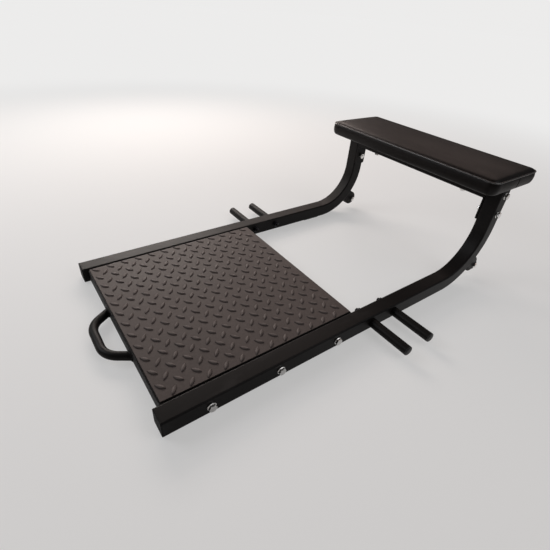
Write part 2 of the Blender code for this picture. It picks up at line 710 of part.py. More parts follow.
def ear_outline():
    """Points round a wheel ear, from the bend's centre, with the axle down the local X axis."""
    foot = BEND_RADIUS + RAIL_SIZE / 2 + GAP
    axle = BEND_RADIUS + RAIL_SIZE / 2 + WHEEL_CLEARANCE + WHEEL_RADIUS
    spread = math.asin(EAR_FOOT_HALF / foot)
    boss = arc(Vector((axle, 0)), EAR_BOSS, -math.pi / 2, math.pi / 2, EAR_BOSS_STEPS)
    root = arc(Vector((0, 0)), foot, spread, -spread, EAR_FOOT_STEPS)
    return boss + root, Vector((axle, 0))


def wheel_ear(name, x_middle):
    """Flat plate welded edge-on to the back of the rail's bend."""
    outline, axle = ear_outline()
    bore = AXLE_RADIUS + BOLT_CLEARANCE
    shape = bpy.data.curves.new(name, "CURVE")
    shape.dimensions = "2D"
    shape.fill_mode = "BOTH"
    shape.extrude = EAR_THICK / 2
    hole = arc(axle, bore, 0, 2 * math.pi, ROUND_STEPS)[:-1]
    for points in (outline, hole):
        spline = shape.splines.new("POLY")
        spline.points.add(len(points) - 1)
        for point, spot in zip(spline.points, points):
            point.co = (spot.x, spot.y, 0, 1)
        spline.use_cyclic_u = True
    ear = place(shape, name, None)
    tilt = Matrix.Rotation(-WHEEL_SLOPE, 4, "X")
    ear.matrix_world = (Matrix.Translation((x_middle, along(BEND_START), BEND_HEIGHT))
                        @ tilt @ FACING_X)
    curve_mesh(ear, name, POWDER_COAT)


def wheel_mounting(word, side):
    """Two ears and the axle bolt of one wheel."""
    outer = RAIL_OUTER - EAR_INSET
    inner = RAIL_INNER + EAR_INSET
    wheel_ear("wheel_ear_outer_" + word, side * (outer - EAR_THICK / 2))
    wheel_ear("wheel_ear_inner_" + word, side * (inner + EAR_THICK / 2))
    grip = outer - inner + 2 * GAP
    centre = wheel_centre(side)
    bolt("wheel_axle_bolt_" + word, (side * (outer + GAP), centre.y, centre.z), outwards(side),
         grip + NUT_HEIGHT + THREAD_SHOW, grip, washer=False, radius=AXLE_RADIUS,
         flats=AXLE_FLATS)


def side_bolts(word, side):
    """Bolts through one rail: three into the platform, two into the crossbar's plate."""
    start = side * (RAIL_OUTER + GAP)
    platform_grip = RAIL_OUTER - BAR_INNER + 2 * GAP
    for row_word, where in zip(("front", "middle", "rear"), PLATFORM_BOLT_PLACES):
        bolt("platform_bolt_" + row_word + "_" + word, (start, along(where), RAIL_AXIS),
             outwards(side), platform_grip + NUT_HEIGHT + THREAD_SHOW, platform_grip)
    post_grip = RAIL_OUTER - PLATE_INNER + 2 * GAP
    for row_word, height in POST_BOLT_HEIGHTS:
        bolt("post_bolt_" + row_word + "_" + word, (start, along(POST_Y), height),
             outwards(side), post_grip + NUT_HEIGHT + THREAD_SHOW, post_grip)


def side_pegs(word, side):
    """The band pegs of one rail, with their caps and nuts."""
    for row_word, where in PEG_PLACES:
        ending = row_word + "_" + word
        band_peg("band_peg_" + ending, side, where)
        peg_cap("peg_cap_" + ending, side, where)
        washer_nut("peg_nut_" + ending, (side * (RAIL_INNER - GAP), along(where), RAIL_AXIS),
                   outwards(-side))


def pad_bolt(name, side):
    """Bolt up through the crossbar into the pad board."""
    bearing = FRAME_TOP - CROSSBAR_SIZE - GAP
    bolt(name, (side * PAD_BOLT_X, along(POST_Y), bearing), (math.pi, 0, 0),
         PAD_BASE_HEIGHT + BOARD_THICK - PAD_BOLT_SHORT - bearing)


for side_word, side_sign in SIDES:
    side_rail("rail_" + side_word, side_sign)
    end_cap("rail_front_cap_" + side_word, (side_sign * RAIL_X, along(0), RAIL_AXIS),
            (math.pi / 2, 0, 0))
    end_cap("post_top_cap_" + side_word, (side_sign * RAIL_X, along(POST_Y), FRAME_TOP), (0, 0, 0))
    foot_pad("foot_pad_front_" + side_word, side_sign, FOOT_SETBACK)
    foot_pad("foot_pad_rear_" + side_word, side_sign, BEND_START - FOOT_SETBACK - FOOT_LENGTH)
    side_bolts(side_word, side_sign)
    side_pegs(side_word, side_sign)
    transport_wheel(side_word, side_sign)
    wheel_mounting(side_word, side_sign)
    pad_bolt("pad_bolt_" + side_word, side_sign)

platform_frame()
platform_top()
front_handle()
crossbar_and_plates()
pad_board()
pad_cushion()
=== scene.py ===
# %% [markdown]
# # Dressing a hip thrust bench
# The bench comes as a frame of plain solids, at their real sizes and places. This lesson puts
# the real surfaces on it: smooth bent tubes, a lugged rubber mat, a sewn cushion, turned wheels
# and chamfered bolts, each with its own finish. Nothing moves or changes size on the way.

import math

import bmesh
import bpy
from mathutils import Matrix, Vector, noise


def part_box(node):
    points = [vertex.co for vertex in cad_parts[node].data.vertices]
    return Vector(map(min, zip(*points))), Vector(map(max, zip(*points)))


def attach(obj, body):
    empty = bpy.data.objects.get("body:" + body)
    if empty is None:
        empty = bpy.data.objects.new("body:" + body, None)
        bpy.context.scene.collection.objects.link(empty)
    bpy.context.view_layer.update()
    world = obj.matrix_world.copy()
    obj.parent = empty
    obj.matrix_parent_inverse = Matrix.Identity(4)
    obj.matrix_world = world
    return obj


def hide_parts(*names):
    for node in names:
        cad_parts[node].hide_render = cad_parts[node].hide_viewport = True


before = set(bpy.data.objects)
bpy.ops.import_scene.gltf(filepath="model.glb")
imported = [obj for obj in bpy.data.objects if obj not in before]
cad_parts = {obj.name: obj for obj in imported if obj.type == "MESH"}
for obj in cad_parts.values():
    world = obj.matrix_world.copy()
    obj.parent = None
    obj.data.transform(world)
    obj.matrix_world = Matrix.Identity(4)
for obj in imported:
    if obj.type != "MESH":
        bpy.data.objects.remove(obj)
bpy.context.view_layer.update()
SIDES = (("left", -1), ("right", 1))
print("Solids in the frame:", len(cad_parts))

# %% [markdown]
# ## Shader maths in plain Python
# A finish is a few noises, mixed and scaled. Wired by hand that is a web of boxes, so a small
# class wraps a number socket and turns plus, minus and times into Math nodes, and one method
# adds any other node. Constants stay on the shader's own sockets.

# %% Number sockets
class Number:
    """A number socket of a finish, which takes part in ordinary arithmetic."""

    def __init__(self, finish, socket):
        self.finish = finish
        self.socket = socket

    def __add__(self, other):
        return self.finish.maths("ADD", self, other)

    def __sub__(self, other):
        return self.finish.maths("SUBTRACT", self, other)

    def __rsub__(self, other):
        return self.finish.maths("SUBTRACT", other, self)

    def __mul__(self, other):
        return self.finish.maths("MULTIPLY", self, other)

    __radd__ = __add__
    __rmul__ = __mul__


# %% Finishes
class Finish:
    """A material round one Principled shader, with short ways to add nodes."""

    def __init__(self, name, colour, roughness, metallic=0.0, specular=0.5):
        self.material = bpy.data.materials.new(name)
        self.material.use_nodes = True
        self.tree = self.material.node_tree
        self.shader = self.tree.nodes["Principled BSDF"]
        self.shader.inputs["Base Color"].default_value = (*colour, 1.0)
        self.shader.inputs["Roughness"].default_value = roughness
        self.shader.inputs["Metallic"].default_value = metallic
        self.shader.inputs["Specular IOR Level"].default_value = specular
        self.place = self.node("TexCoord", {}, {}).outputs["Object"]

    def node(self, kind, settings, sockets):
        """Add a node, set its settings, and then fill or link its sockets."""
        made = self.tree.nodes.new("ShaderNode" + kind)
        for name, value in settings.items():
            setattr(made, name, value)
        for name, value in sockets.items():
            self.fill(made.inputs[name], value)
        return made

    def fill(self, socket, value):
        """Link a socket or a Number to this socket, or write a plain value on it."""
        if isinstance(value, Number):
            value = value.socket
        if isinstance(value, bpy.types.NodeSocket):
            self.tree.links.new(value, socket)
        else:
            socket.default_value = value

    def maths(self, operation, first, second):
        made = self.node("Math", {"operation": operation}, {0: first, 1: second})
        return Number(self, made.outputs[0])

    def noise(self, scale, detail=2.0, stretch=(1.0, 1.0, 1.0)):
        """Noise with a number of features to the metre, from 0 to 1."""
        sized = self.node("Mapping", {}, {"Vector": self.place, "Scale": stretch})
        made = self.node("TexNoise", {}, {"Vector": sized.outputs[0], "Scale": scale,
                                          "Detail": detail})
        return Number(self, made.outputs[0])

    def cells(self, scale):
        """Distance to the nearest border of a cell pattern."""
        made = self.node("TexVoronoi", {"feature": "DISTANCE_TO_EDGE"},
                         {"Vector": self.place, "Scale": scale})
        return Number(self, made.outputs["Distance"])

    def step(self, value, low, high):
        """A smooth step from 0 at low to 1 at high."""
        made = self.node("MapRange", {"interpolation_type": "SMOOTHSTEP"},
                         {"Value": value, "From Min": low, "From Max": high})
        return Number(self, made.outputs["Result"])

    def mix(self, share, first, second):
        """A colour between two colours."""
        made = self.node("Mix", {"data_type": "RGBA"}, {"Factor": share})
        colours = [socket for socket in made.inputs if socket.type == "RGBA"]
        for socket, colour in zip(colours, (first, second)):
            self.fill(socket, colour if isinstance(colour, bpy.types.NodeSocket) else (*colour, 1.0))
        return next(socket for socket in made.outputs if socket.type == "RGBA")

    def colour(self, value):
        self.fill(self.shader.inputs["Base Color"], value)

    def roughness(self, value):
        self.fill(self.shader.inputs["Roughness"], value)

    def bump(self, height, depth, strength=1.0):
        """Small relief: height from 0 to 1, depth in metres. A second one sits on the first."""
        made = self.node("Bump", {}, {"Height": height, "Distance": depth, "Strength": strength})
        normal = self.shader.inputs["Normal"]
        if normal.is_linked:
            self.fill(made.inputs["Normal"], normal.links[0].from_socket)
        self.fill(normal, made.outputs["Normal"])


# %% [markdown]
# ## The studio
# A black object shows little but what it mirrors. The main lamp stands low on the left, so that
# the mat's lugs throw small shadows. Two lamps behind on the left are mirrored by the rails' tops
# and by the pad, and two more lighten the sides. The floor is pale, and it glows a little, so that
# it looks even to the camera, and so that upright faces mirror more of it towards the rear. Far
# out it fades into the backdrop, so no horizon shows.

# %% Floor
FLOOR_SIZE = 60.0
FLOOR_PALE = (0.80, 0.79, 0.78)
BACKDROP = (0.84, 0.835, 0.83)
# Shares of glow: seen by the camera near the bench, and mirrored in front of and behind it
EVEN_SHARE = 0.50
MIRRORED_FRONT = 0.15
MIRRORED_REAR = 0.53
# Ramps: along the bench in metres, then two by the distance from its middle
MIRRORED_STEP = (-0.5, 0.5)
MIRRORED_FADE = (1.1, 1.8)
FADE = (0.9, 4.0)
BLACK = (0.0, 0.0, 0.0)


def plain_floor():
    """A wide pale plane that only belongs to the stage."""
    bm = bmesh.new()
    bmesh.ops.create_grid(bm, x_segments=1, y_segments=1, size=FLOOR_SIZE / 2)
    mesh = bpy.data.meshes.new("floor")
    bm.to_mesh(mesh)
    bm.free()
    floor = bpy.data.objects.new("floor", mesh)
    bpy.context.scene.collection.objects.link(floor)
    paint = Finish("floor_paint", FLOOR_PALE, roughness=0.9, specular=0.1)
    rays = paint.node("LightPath", {}, {}).outputs
    reach = paint.node("VectorMath", {"operation": "LENGTH"}, {0: paint.place}).outputs["Value"]
    along = paint.node("SeparateXYZ", {}, {0: paint.place}).outputs["Y"]
    seen = EVEN_SHARE + paint.step(reach, *FADE) * (1.0 - EVEN_SHARE)
    rear = paint.step(along, *MIRRORED_STEP) * (1.0 - paint.step(reach, *MIRRORED_FADE))
    mirrored = MIRRORED_FRONT + rear * (MIRRORED_REAR - MIRRORED_FRONT)
    glow = seen * Number(paint, rays["Is Camera Ray"])
    glow = glow + mirrored * Number(paint, rays["Is Glossy Ray"])
    paint.colour(paint.mix(glow, FLOOR_PALE, BLACK))
    paint.fill(paint.shader.inputs["Emission Color"], paint.mix(glow, BLACK, BACKDROP))
    paint.shader.inputs["Emission Strength"].default_value = 1.0
    mesh.materials.append(paint.material)


plain_floor()

# %% World
WORLD_LIGHT = 0.08


def pale_world():
    """The backdrop to the camera, and weak soft light to everything else."""
    world = bpy.data.worlds.new("studio")
    bpy.context.scene.world = world
    world.use_nodes = True
    tree = world.node_tree
    surface = tree.nodes["Background"]
    surface.inputs["Color"].default_value = (*BACKDROP, 1.0)
    rays = tree.nodes.new("ShaderNodeLightPath")
    level = tree.nodes.new("ShaderNodeMapRange")
    level.inputs["To Min"].default_value = WORLD_LIGHT
    level.inputs["To Max"].default_value = 1.0
    tree.links.new(rays.outputs["Is Camera Ray"], level.inputs["Value"])
    tree.links.new(level.outputs["Result"], surface.inputs["Strength"])


pale_world()

# %% Lamps
MIDDLE = Vector((0.0, 0.0, 0.15))


def softbox(name, bearing, height, distance, size, power, colour):
    """Area lamp: bearing from straight behind and height angle in degrees, power in watts."""
    bearing = math.radians(bearing)
    height = math.radians(height)
    way = Vector((math.sin(bearing) * math.cos(height), math.cos(bearing) * math.cos(height),
                  math.sin(height)))
    light = bpy.data.lights.new(name, "AREA")
    light.shape = "RECTANGLE"
    light.size, light.size_y = size
    light.energy = power
    light.color = colour
    lamp = bpy.data.objects.new(name, light)
    lamp.location = MIDDLE + way * distance
    lamp.rotation_euler = (-way).to_track_quat("-Z", "Y").to_euler()
    bpy.context.scene.collection.objects.link(lamp)


softbox("left_key", -87, 24, 3.0, (1.5, 0.8), 47, (1.0, 0.91, 0.85))
softbox("rail_sheen", -58, 30, 3.2, (1.3, 0.8), 16, (1.0, 0.86, 0.80))
softbox("pad_sheen", -31, 34, 3.4, (2.6, 1.6), 9.3, (1.0, 0.76, 0.68))
softbox("front_left_fill", -142, 32, 3.2, (1.5, 1.0), 24, (0.95, 0.96, 1.0))
softbox("rear_right_fill", 58, 42, 3.0, (2.0, 2.0), 16, (0.97, 0.97, 1.0))
print("Lamps:", len(bpy.data.lights))

# %% [markdown]
# ## The camera
# The view stands to the right of the handle and looks down across the platform to the pad.
# Its place, angles and lens come from lining up the rails, the mat and the pad with the picture.

# %% Camera
PICTURE_SIZE = 550
PICTURE_CENTRE = (277.17, 274.45)
FOCAL_PIXELS = 379.744
SENSOR_WIDTH = 36.0
CAMERA_PLACE = Vector((0.83910, -0.76094, 0.79856))
CAMERA_AZIMUTH = 0.89574
CAMERA_ELEVATION = 0.62399
CAMERA_ROLL = 0.090717


def photo_camera():
    """The camera at the picture's place, turn, roll and lens."""
    data = bpy.data.cameras.new("photo_camera")
    data.sensor_width = SENSOR_WIDTH
    data.lens = FOCAL_PIXELS / PICTURE_SIZE * SENSOR_WIDTH
    data.shift_x = (PICTURE_SIZE / 2 - PICTURE_CENTRE[0]) / PICTURE_SIZE
    data.shift_y = (PICTURE_CENTRE[1] - PICTURE_SIZE / 2) / PICTURE_SIZE
    camera = bpy.data.objects.new("photo_camera", data)
    flat = math.cos(CAMERA_ELEVATION)
    back = Vector((math.sin(CAMERA_AZIMUTH) * flat, -math.cos(CAMERA_AZIMUTH) * flat,
                   math.sin(CAMERA_ELEVATION)))
    right = Vector((math.cos(CAMERA_AZIMUTH), math.sin(CAMERA_AZIMUTH), 0.0))
    upright = Matrix((right, back.cross(right), back))
    roll = Matrix.Rotation(-CAMERA_ROLL, 3, "Z")
    turn = (roll @ upright).transposed()
    camera.matrix_world = Matrix.Translation(CAMERA_PLACE) @ turn.to_4x4()
    bpy.context.scene.collection.objects.link(camera)
    bpy.context.scene.camera = camera


photo_camera()
bpy.context.scene.view_settings.view_transform = "Standard"
print("Lens in mm:", round(bpy.context.scene.camera.data.lens, 2))

# %% [markdown]
# ## The finishes
# Each surface of the bench gets one. Powder coat is baked paint with a faint orange peel. The
# mat and the tyres are dull rubber that holds a little dust. The pad's cover is soft vinyl with a
# fine leather grain. The fasteners are bright zinc, brushed round by the plating drum.

# %% Shades of a colour
def shade(colour, factor, lift=0.0):
    """The colour times a factor, with the same lift added to each channel."""
    return tuple(factor * channel + lift for channel in colour)


# %% Powder coat
def powder_coat(name, colour, roughness):
    """Satin black paint with orange peel and faint scuffs."""
    finish = Finish(name, colour, roughness, specular=0.16)
    smears = finish.noise(scale=26, detail=6, stretch=(1.0, 0.35, 1.0))
    scuffs_and_painted_highlight = finish.step(smears, low=0.56, high=0.74)
    finish.colour(finish.mix(scuffs_and_painted_highlight, colour, shade(colour, factor=1.5, lift=0.004)))
    clouds = finish.noise(scale=9, detail=3)
    finish.roughness(roughness - 0.03 + clouds * 0.06 + scuffs_and_painted_highlight * 0.05)
    finish.bump(finish.noise(scale=900, detail=1), depth=0.00006, strength=0.5)
    finish.bump(finish.noise(scale=160, detail=2), depth=0.00012, strength=0.35)
    return finish.material


coat = powder_coat("powder_coat", (0.0080, 0.0068, 0.0064), roughness=0.47)
print("Finish:", coat.name)

# %% Moulded plastic
def moulded_plastic(name, colour, roughness, specular=0.13):
    """Black plastic with the fine texture of its mould; the pegs' plugs are the glossiest."""
    finish = Finish(name, colour, roughness, specular=specular)
    streaks = finish.noise(scale=40, detail=4)
    finish.colour(finish.mix(streaks, colour, shade(colour, factor=1.4)))
    finish.roughness(roughness - 0.04 + finish.noise(scale=60, detail=3) * 0.08)
    finish.bump(finish.noise(scale=1500, detail=2), depth=0.00005, strength=0.6)
    return finish.material


plug_plastic = moulded_plastic("end_plastic", (0.010, 0.0095, 0.0095), roughness=0.65)
peg_plastic = moulded_plastic("peg_plastic", (0.014, 0.013, 0.013), roughness=0.50, specular=0.50)
hub_plastic = moulded_plastic("hub_plastic", (0.03, 0.03, 0.03), roughness=0.45)

# %% Rubber
# The mat's lugs are paler towards their tops: a painted highlight where the light falls on them
LUG_HEIGHT = 0.0032
SLAB_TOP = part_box("tread_mat")[1].z - LUG_HEIGHT
HIGHLIGHT_RISE = 0.0020
HIGHLIGHT_SHARE = 0.62
LUG_TOP_HIGHLIGHT = (0.150, 0.124, 0.115)


def rubber(name, colour, roughness, grain, dusty, highlight_above=None):
    """Dull rubber: fine grain, patches of dust, and painted highlight above a height, if one is
    given.
    """
    finish = Finish(name, colour, roughness, specular=0.20)
    patches = finish.step(finish.noise(scale=7, detail=7), low=0.38, high=0.72)
    wear = finish.step(finish.noise(scale=130, detail=3), low=0.32, high=0.68)
    specks = finish.noise(scale=1100, detail=2)
    dusted = finish.mix(patches * 0.5 + wear * 0.3, colour, dusty)
    skin = finish.mix(finish.step(specks, low=0.5, high=0.8) * 0.35, dusted, dusty)
    # Paler above the given height: a painted highlight on the lugs' tops
    if highlight_above:
        height = finish.node("SeparateXYZ", {}, {0: finish.place}).outputs["Z"]
        scuffs_and_painted_highlight = finish.step(height, low=highlight_above, high=highlight_above + HIGHLIGHT_RISE)
        skin = finish.mix(scuffs_and_painted_highlight * HIGHLIGHT_SHARE, skin, LUG_TOP_HIGHLIGHT)
    finish.colour(skin)
    finish.roughness(roughness - 0.05 + patches * 0.07 + specks * 0.06)
    finish.bump(specks, depth=grain, strength=0.5)
    finish.bump(finish.noise(scale=220, detail=3), depth=5 * grain, strength=0.5)
    return finish.material


# The mat's lugs get a painted highlight above the slab's top
mat_rubber = rubber("tread_rubber", (0.076, 0.060, 0.055), roughness=0.55, grain=0.00010,
                    dusty=(0.112, 0.090, 0.083), highlight_above=SLAB_TOP)
tyre_rubber = rubber("wheel_rubber", (0.016, 0.016, 0.016), roughness=0.60, grain=0.00005,
                     dusty=(0.035, 0.034, 0.033))
foot_rubber = rubber("foot_rubber", (0.012, 0.012, 0.012), roughness=0.75, grain=0.00005,
                     dusty=(0.03, 0.03, 0.03))

# %% Vinyl
def vinyl(name, colour, roughness, specular):
    """Soft upholstery vinyl: pebbled grain, and a sheen that varies where it is stretched."""
    finish = Finish(name, colour, roughness, specular=specular)
    pulls = finish.noise(scale=5, detail=3, stretch=(0.6, 1.6, 1.0))
    stretched = finish.step(pulls, low=0.35, high=0.7)
    finish.colour(finish.mix(stretched, colour, shade(colour, factor=1.9)))
    handled = finish.noise(scale=220, detail=3)
    finish.roughness(roughness + 0.04 - stretched * 0.07 + handled * 0.05)
    pebbles = finish.step(finish.cells(scale=620), low=0.0, high=0.35)
    finish.bump(pebbles, depth=0.00009, strength=0.45)
    finish.bump(finish.noise(scale=75, detail=3), depth=0.0004, strength=0.18)
    return finish.material


cover_vinyl = vinyl("pad_vinyl", (0.0050, 0.0037, 0.0032), roughness=0.40, specular=0.16)
# The cord's vinyl is glossier than the cover's, and its paler colour is a painted highlight along
# the seam
cord_vinyl = vinyl("cord_vinyl", (0.0300, 0.0270, 0.0260), roughness=0.22, specular=1.0)

# %% Zinc
def bright_zinc(name, colour, roughness):
    """Zinc plate: bright, a little cloudy, with fine tumbling marks."""
    finish = Finish(name, colour, roughness, metallic=1.0)
    clouds = finish.noise(scale=350, detail=4)
    dull = finish.step(clouds, low=0.45, high=0.75)
    finish.colour(finish.mix(dull, colour, shade(colour, factor=0.72)))
    finish.roughness(roughness - 0.06 + clouds * 0.14)
    finish.bump(finish.noise(scale=2200, detail=2), depth=0.00003, strength=0.5)
    return finish.material


zinc = bright_zinc("zinc", (0.92, 0.91, 0.89), roughness=0.24)
black_zinc = bright_zinc("black_zinc", (0.05, 0.05, 0.055), roughness=0.36)

# %% Stained wood
def stained_wood(name, colour, dark):
    """Dark plywood with grain along the board."""
    finish = Finish(name, colour, roughness=0.65)
    grain = finish.noise(scale=140, detail=5, stretch=(0.06, 1.0, 1.0))
    finish.colour(finish.mix(finish.step(grain, low=0.42, high=0.66), colour, dark))
    finish.roughness(0.58 + grain * 0.16)
    finish.bump(grain, depth=0.0002, strength=0.4)
    return finish.material


board_wood = stained_wood("board_wood", (0.060, 0.042, 0.028), (0.030, 0.021, 0.014))
print("Finishes:", sorted(paint.name for paint in bpy.data.materials if paint.users))

# %% [markdown]
# ## From a bmesh to a piece
# Every piece ends the same way: doubled points are merged, faces are turned outwards, edges
# sharper than a limit stay crisp, and the piece gets its material, rides on its body and stands for
# its solid. One function does that, so that no piece forgets a step.

# %% Finish a piece
DOUBLES = 0.000001
SHARP = 35.0
ALL_SMOOTH = 180.0


def make_piece(bm, name, nodes, material, body="root", sharp=SHARP):
    """Turn a bmesh, built in its place, into a piece that replaces the named solids."""
    bmesh.ops.remove_doubles(bm, verts=bm.verts, dist=DOUBLES)
    bmesh.ops.recalc_face_normals(bm, faces=bm.faces)
    mesh = bpy.data.meshes.new(name)
    bm.to_mesh(mesh)
    bm.free()
    mesh.shade_smooth()
    mesh.set_sharp_from_angle(angle=math.radians(sharp))
    mesh.materials.append(material)
    piece = bpy.data.objects.new(name, mesh)
    bpy.context.scene.collection.objects.link(piece)
    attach(piece, body)
    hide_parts(*nodes)
    return piece


# %% Rounded edges and even shading
def soften(piece, width=0.0, segments=2):
    """Round a piece's edges, if a width is given, and keep its flat faces flat."""
    if width:
        rounding = piece.modifiers.new("rounding", "BEVEL")
        rounding.width = width
        rounding.segments = segments
        rounding.limit_method = "ANGLE"
    shading = piece.modifiers.new("even_shading", "WEIGHTED_NORMAL")
    shading.keep_sharp = True


def give_wall(piece, thickness):
    """Turn an open tube surface into a tube with a wall inside it."""
    wall = piece.modifiers.new("wall", "SOLIDIFY")
    wall.thickness = thickness
    wall.offset = -1.0
    wall.use_even_offset = True


# %% Small mesh helpers
# Matrices that point local Z along each axis
FACING_X = Matrix(((0, 0, 1), (1, 0, 0), (0, 1, 0))).to_4x4()
FACING_Y = Matrix(((1, 0, 0), (0, 0, 1), (0, 1, 0))).to_4x4()
FACING_Z = Matrix.Identity(4)


def section(bm, width, depth, corner, steps, turn=FACING_Z):
    """Edges of a rounded rectangle about the origin."""
    made = bmesh.ops.create_grid(bm, x_segments=1, y_segments=1, size=0.5)
    bmesh.ops.scale(bm, vec=(width, depth, 1.0), verts=made["verts"])
    bmesh.ops.bevel(bm, geom=made["verts"], offset=corner, segments=steps, profile=0.5,
                    affect="VERTICES", material=-1)
    bmesh.ops.delete(bm, geom=list(bm.faces), context="FACES_ONLY")
    bmesh.ops.transform(bm, matrix=turn, verts=bm.verts)
    return list(bm.edges)


def unique(items):
    """The items in their order, without repeats."""
    return list(dict.fromkeys(items))


def points_of(edges):
    return unique(vert for edge in edges for vert in edge.verts)


def only(kind, items):
    """The items of one kind, such as BMVert, out of what an operator made."""
    return [item for item in items if isinstance(item, getattr(bmesh.types, kind))]


def put(bm, place, turn):
    """Turn everything in the bmesh and move it to its place."""
    bmesh.ops.transform(bm, matrix=Matrix.Translation(place) @ turn, verts=bm.verts)


def pull(bm, edges, shift):
    """Extrude a ring of edges by a vector and return the new ring."""
    made = bmesh.ops.extrude_edge_only(bm, edges=edges)["geom"]
    ends = set(only("BMVert", made))
    bmesh.ops.translate(bm, vec=shift, verts=list(ends))
    return [edge for edge in only("BMEdge", made) if ends.issuperset(edge.verts)]


def lid(bm, edges):
    """Close a ring with one face."""
    return bmesh.ops.contextual_create(bm, geom=edges)["faces"]


def swing(bm, edges, centre, axis, angle, steps):
    """Sweep a ring round an axis and return the last ring."""
    made = bmesh.ops.spin(bm, geom=edges, cent=centre, axis=axis, angle=angle, steps=steps)
    return only("BMEdge", made["geom_last"])


def turned(bm, profile, steps):
    """Sweep an outline of radius and height round the Z axis, and close it at the axis."""
    line = [bm.verts.new((radius, 0.0, height)) for radius, height in profile]
    edges = [bm.edges.new(pair) for pair in zip(line, line[1:])]
    bmesh.ops.spin(bm, geom=line + edges, cent=(0, 0, 0), axis=(0, 0, 1), angle=2 * math.pi,
                   steps=steps, use_merge=True)
    bmesh.ops.remove_doubles(bm, verts=bm.verts, dist=DOUBLES)


def outwards(side):
    """Turn that points local Z to the left (-1) or to the right (1)."""
    return Matrix.Rotation(side * math.pi / 2, 4, "Y")


# %% [markdown]
# ## The side rails
# Each rail is one square steel tube, laid on the floor and bent up into a post on a tube bender.
# A curve with a bevel could make it, but its corners would twist at the bend. A rounded square
# that is extruded, spun through a quarter turn and extruded again keeps every corner true.

# %% Rail sizes
RAIL_CORNER = 0.005
RAIL_WALL = 0.0025
BEND_RADIUS = 0.180
CORNER_STEPS = 5
BEND_STEPS = 40

rail_low, rail_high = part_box("rail_right")
rail_size = rail_high.x - rail_low.x
rail_x = (rail_low.x + rail_high.x) / 2
rail_axis = rail_low.z + rail_size / 2
post_y = rail_high.y - rail_size / 2
post_top = rail_high.z
bend_start = post_y - BEND_RADIUS
print("Rail of", round(1000 * rail_size), "mm, bend starts at", round(bend_start, 4))

# %% Bend the rails
def side_rail(word, side):
    """Square tube, straight along the floor, bent up into the post."""
    bm = bmesh.new()
    ring = section(bm, rail_size, rail_size, RAIL_CORNER, CORNER_STEPS, FACING_Y)
    bmesh.ops.translate(bm, vec=(side * rail_x, rail_low.y, rail_axis), verts=bm.verts)
    ring = pull(bm, ring, (0, bend_start - rail_low.y, 0))
    ring = swing(bm, ring, (0, bend_start, rail_axis + BEND_RADIUS), (1, 0, 0), math.pi / 2,
                 BEND_STEPS)
    pull(bm, ring, (0, 0, post_top - rail_axis - BEND_RADIUS))
    rail = make_piece(bm, "bent_rail_" + word, ["rail_" + word], coat)
    give_wall(rail, RAIL_WALL)
    soften(rail)


for word, side in SIDES:
    side_rail(word, side)

# %% [markdown]
# ## Plugs for the open tube ends
# A moulded plug closes each rail in front and each post under the pad. Its lid covers the cut
# edge and has a small round all the way about, and its stem grips inside the tube.

# %% Tube plugs
PLUG_ROUND = 0.0012
PLUG_GAP = 0.0003
PLUG_STEM = 0.012


def tube_plug(name, node, place, turn):
    """Lid with its outer face at the place, and a stem that runs down local Z."""
    low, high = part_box(node)
    thick = min(high - low) - PLUG_STEM
    bm = bmesh.new()
    face = lid(bm, section(bm, rail_size, rail_size, RAIL_CORNER, CORNER_STEPS))
    back = bmesh.ops.extrude_face_region(bm, geom=face)["geom"]
    bmesh.ops.translate(bm, vec=(0, 0, -thick), verts=only("BMVert", back))
    rim = [edge for edge in bm.edges if all(abs(vert.co.z) < DOUBLES for vert in edge.verts)]
    bmesh.ops.bevel(bm, geom=rim, offset=PLUG_ROUND, segments=3, profile=0.5, affect="EDGES",
                    material=-1)
    under = only("BMFace", back)
    bmesh.ops.inset_region(bm, faces=under, thickness=RAIL_WALL + PLUG_GAP)
    stem = bmesh.ops.extrude_face_region(bm, geom=under)["geom"]
    bmesh.ops.translate(bm, vec=(0, 0, -PLUG_STEM), verts=only("BMVert", stem))
    bmesh.ops.delete(bm, geom=under, context="FACES_ONLY")
    put(bm, place, turn)
    soften(make_piece(bm, name, [node], plug_plastic))


for word, side in SIDES:
    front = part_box("rail_front_cap_" + word)[0].y
    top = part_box("post_top_cap_" + word)[1].z
    tube_plug("rail_plug_" + word, "rail_front_cap_" + word, (side * rail_x, front, rail_axis),
              Matrix.Rotation(math.pi / 2, 4, "X"))
    tube_plug("post_plug_" + word, "post_top_cap_" + word, (side * rail_x, post_y, top), FACING_Z)

# %% [markdown]
# ## The platform
# Under the mat lies a welded frame of flat tubes with a steel deck on it. The frame's tubes and
# the crossbar under the pad are the same kind of piece, a short hollow section, so one function
# makes them all from the box of their solid.

# %% Hollow bars
BAR_CORNER = 0.002
BAR_WALL = 0.0015
BAR_STEPS = 3


def hollow_bar(name, node, axis, corner, wall):
    """Straight hollow section that fills the node's box along X (0) or Y (1)."""
    low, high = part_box(node)
    size = high - low
    across = size.y if axis == 0 else size.x
    run = Vector((size.x, 0, 0)) if axis == 0 else Vector((0, size.y, 0))
    bm = bmesh.new()
    ring = section(bm, across, size.z, corner, BAR_STEPS, FACING_X if axis == 0 else FACING_Y)
    bmesh.ops.translate(bm, vec=(low + high - run) / 2, verts=bm.verts)
    pull(bm, ring, run)
    bar = make_piece(bm, name, [node], coat)
    give_wall(bar, wall)
    soften(bar)


for part, axis in (("front_bar", 0), ("rear_bar", 0), ("side_bar_left", 1), ("side_bar_right", 1),
                   ("cross_bar_front", 0), ("cross_bar_rear", 0)):
    hollow_bar("deck_" + part, "platform_" + part, axis, BAR_CORNER, BAR_WALL)
hollow_bar("pad_crossbar", "crossbar", 0, RAIL_CORNER, RAIL_WALL)

# %% Flat plates
DECK_EDGE = 0.0004
PLATE_EDGE = 0.0006
CORNER_CUTS = 6


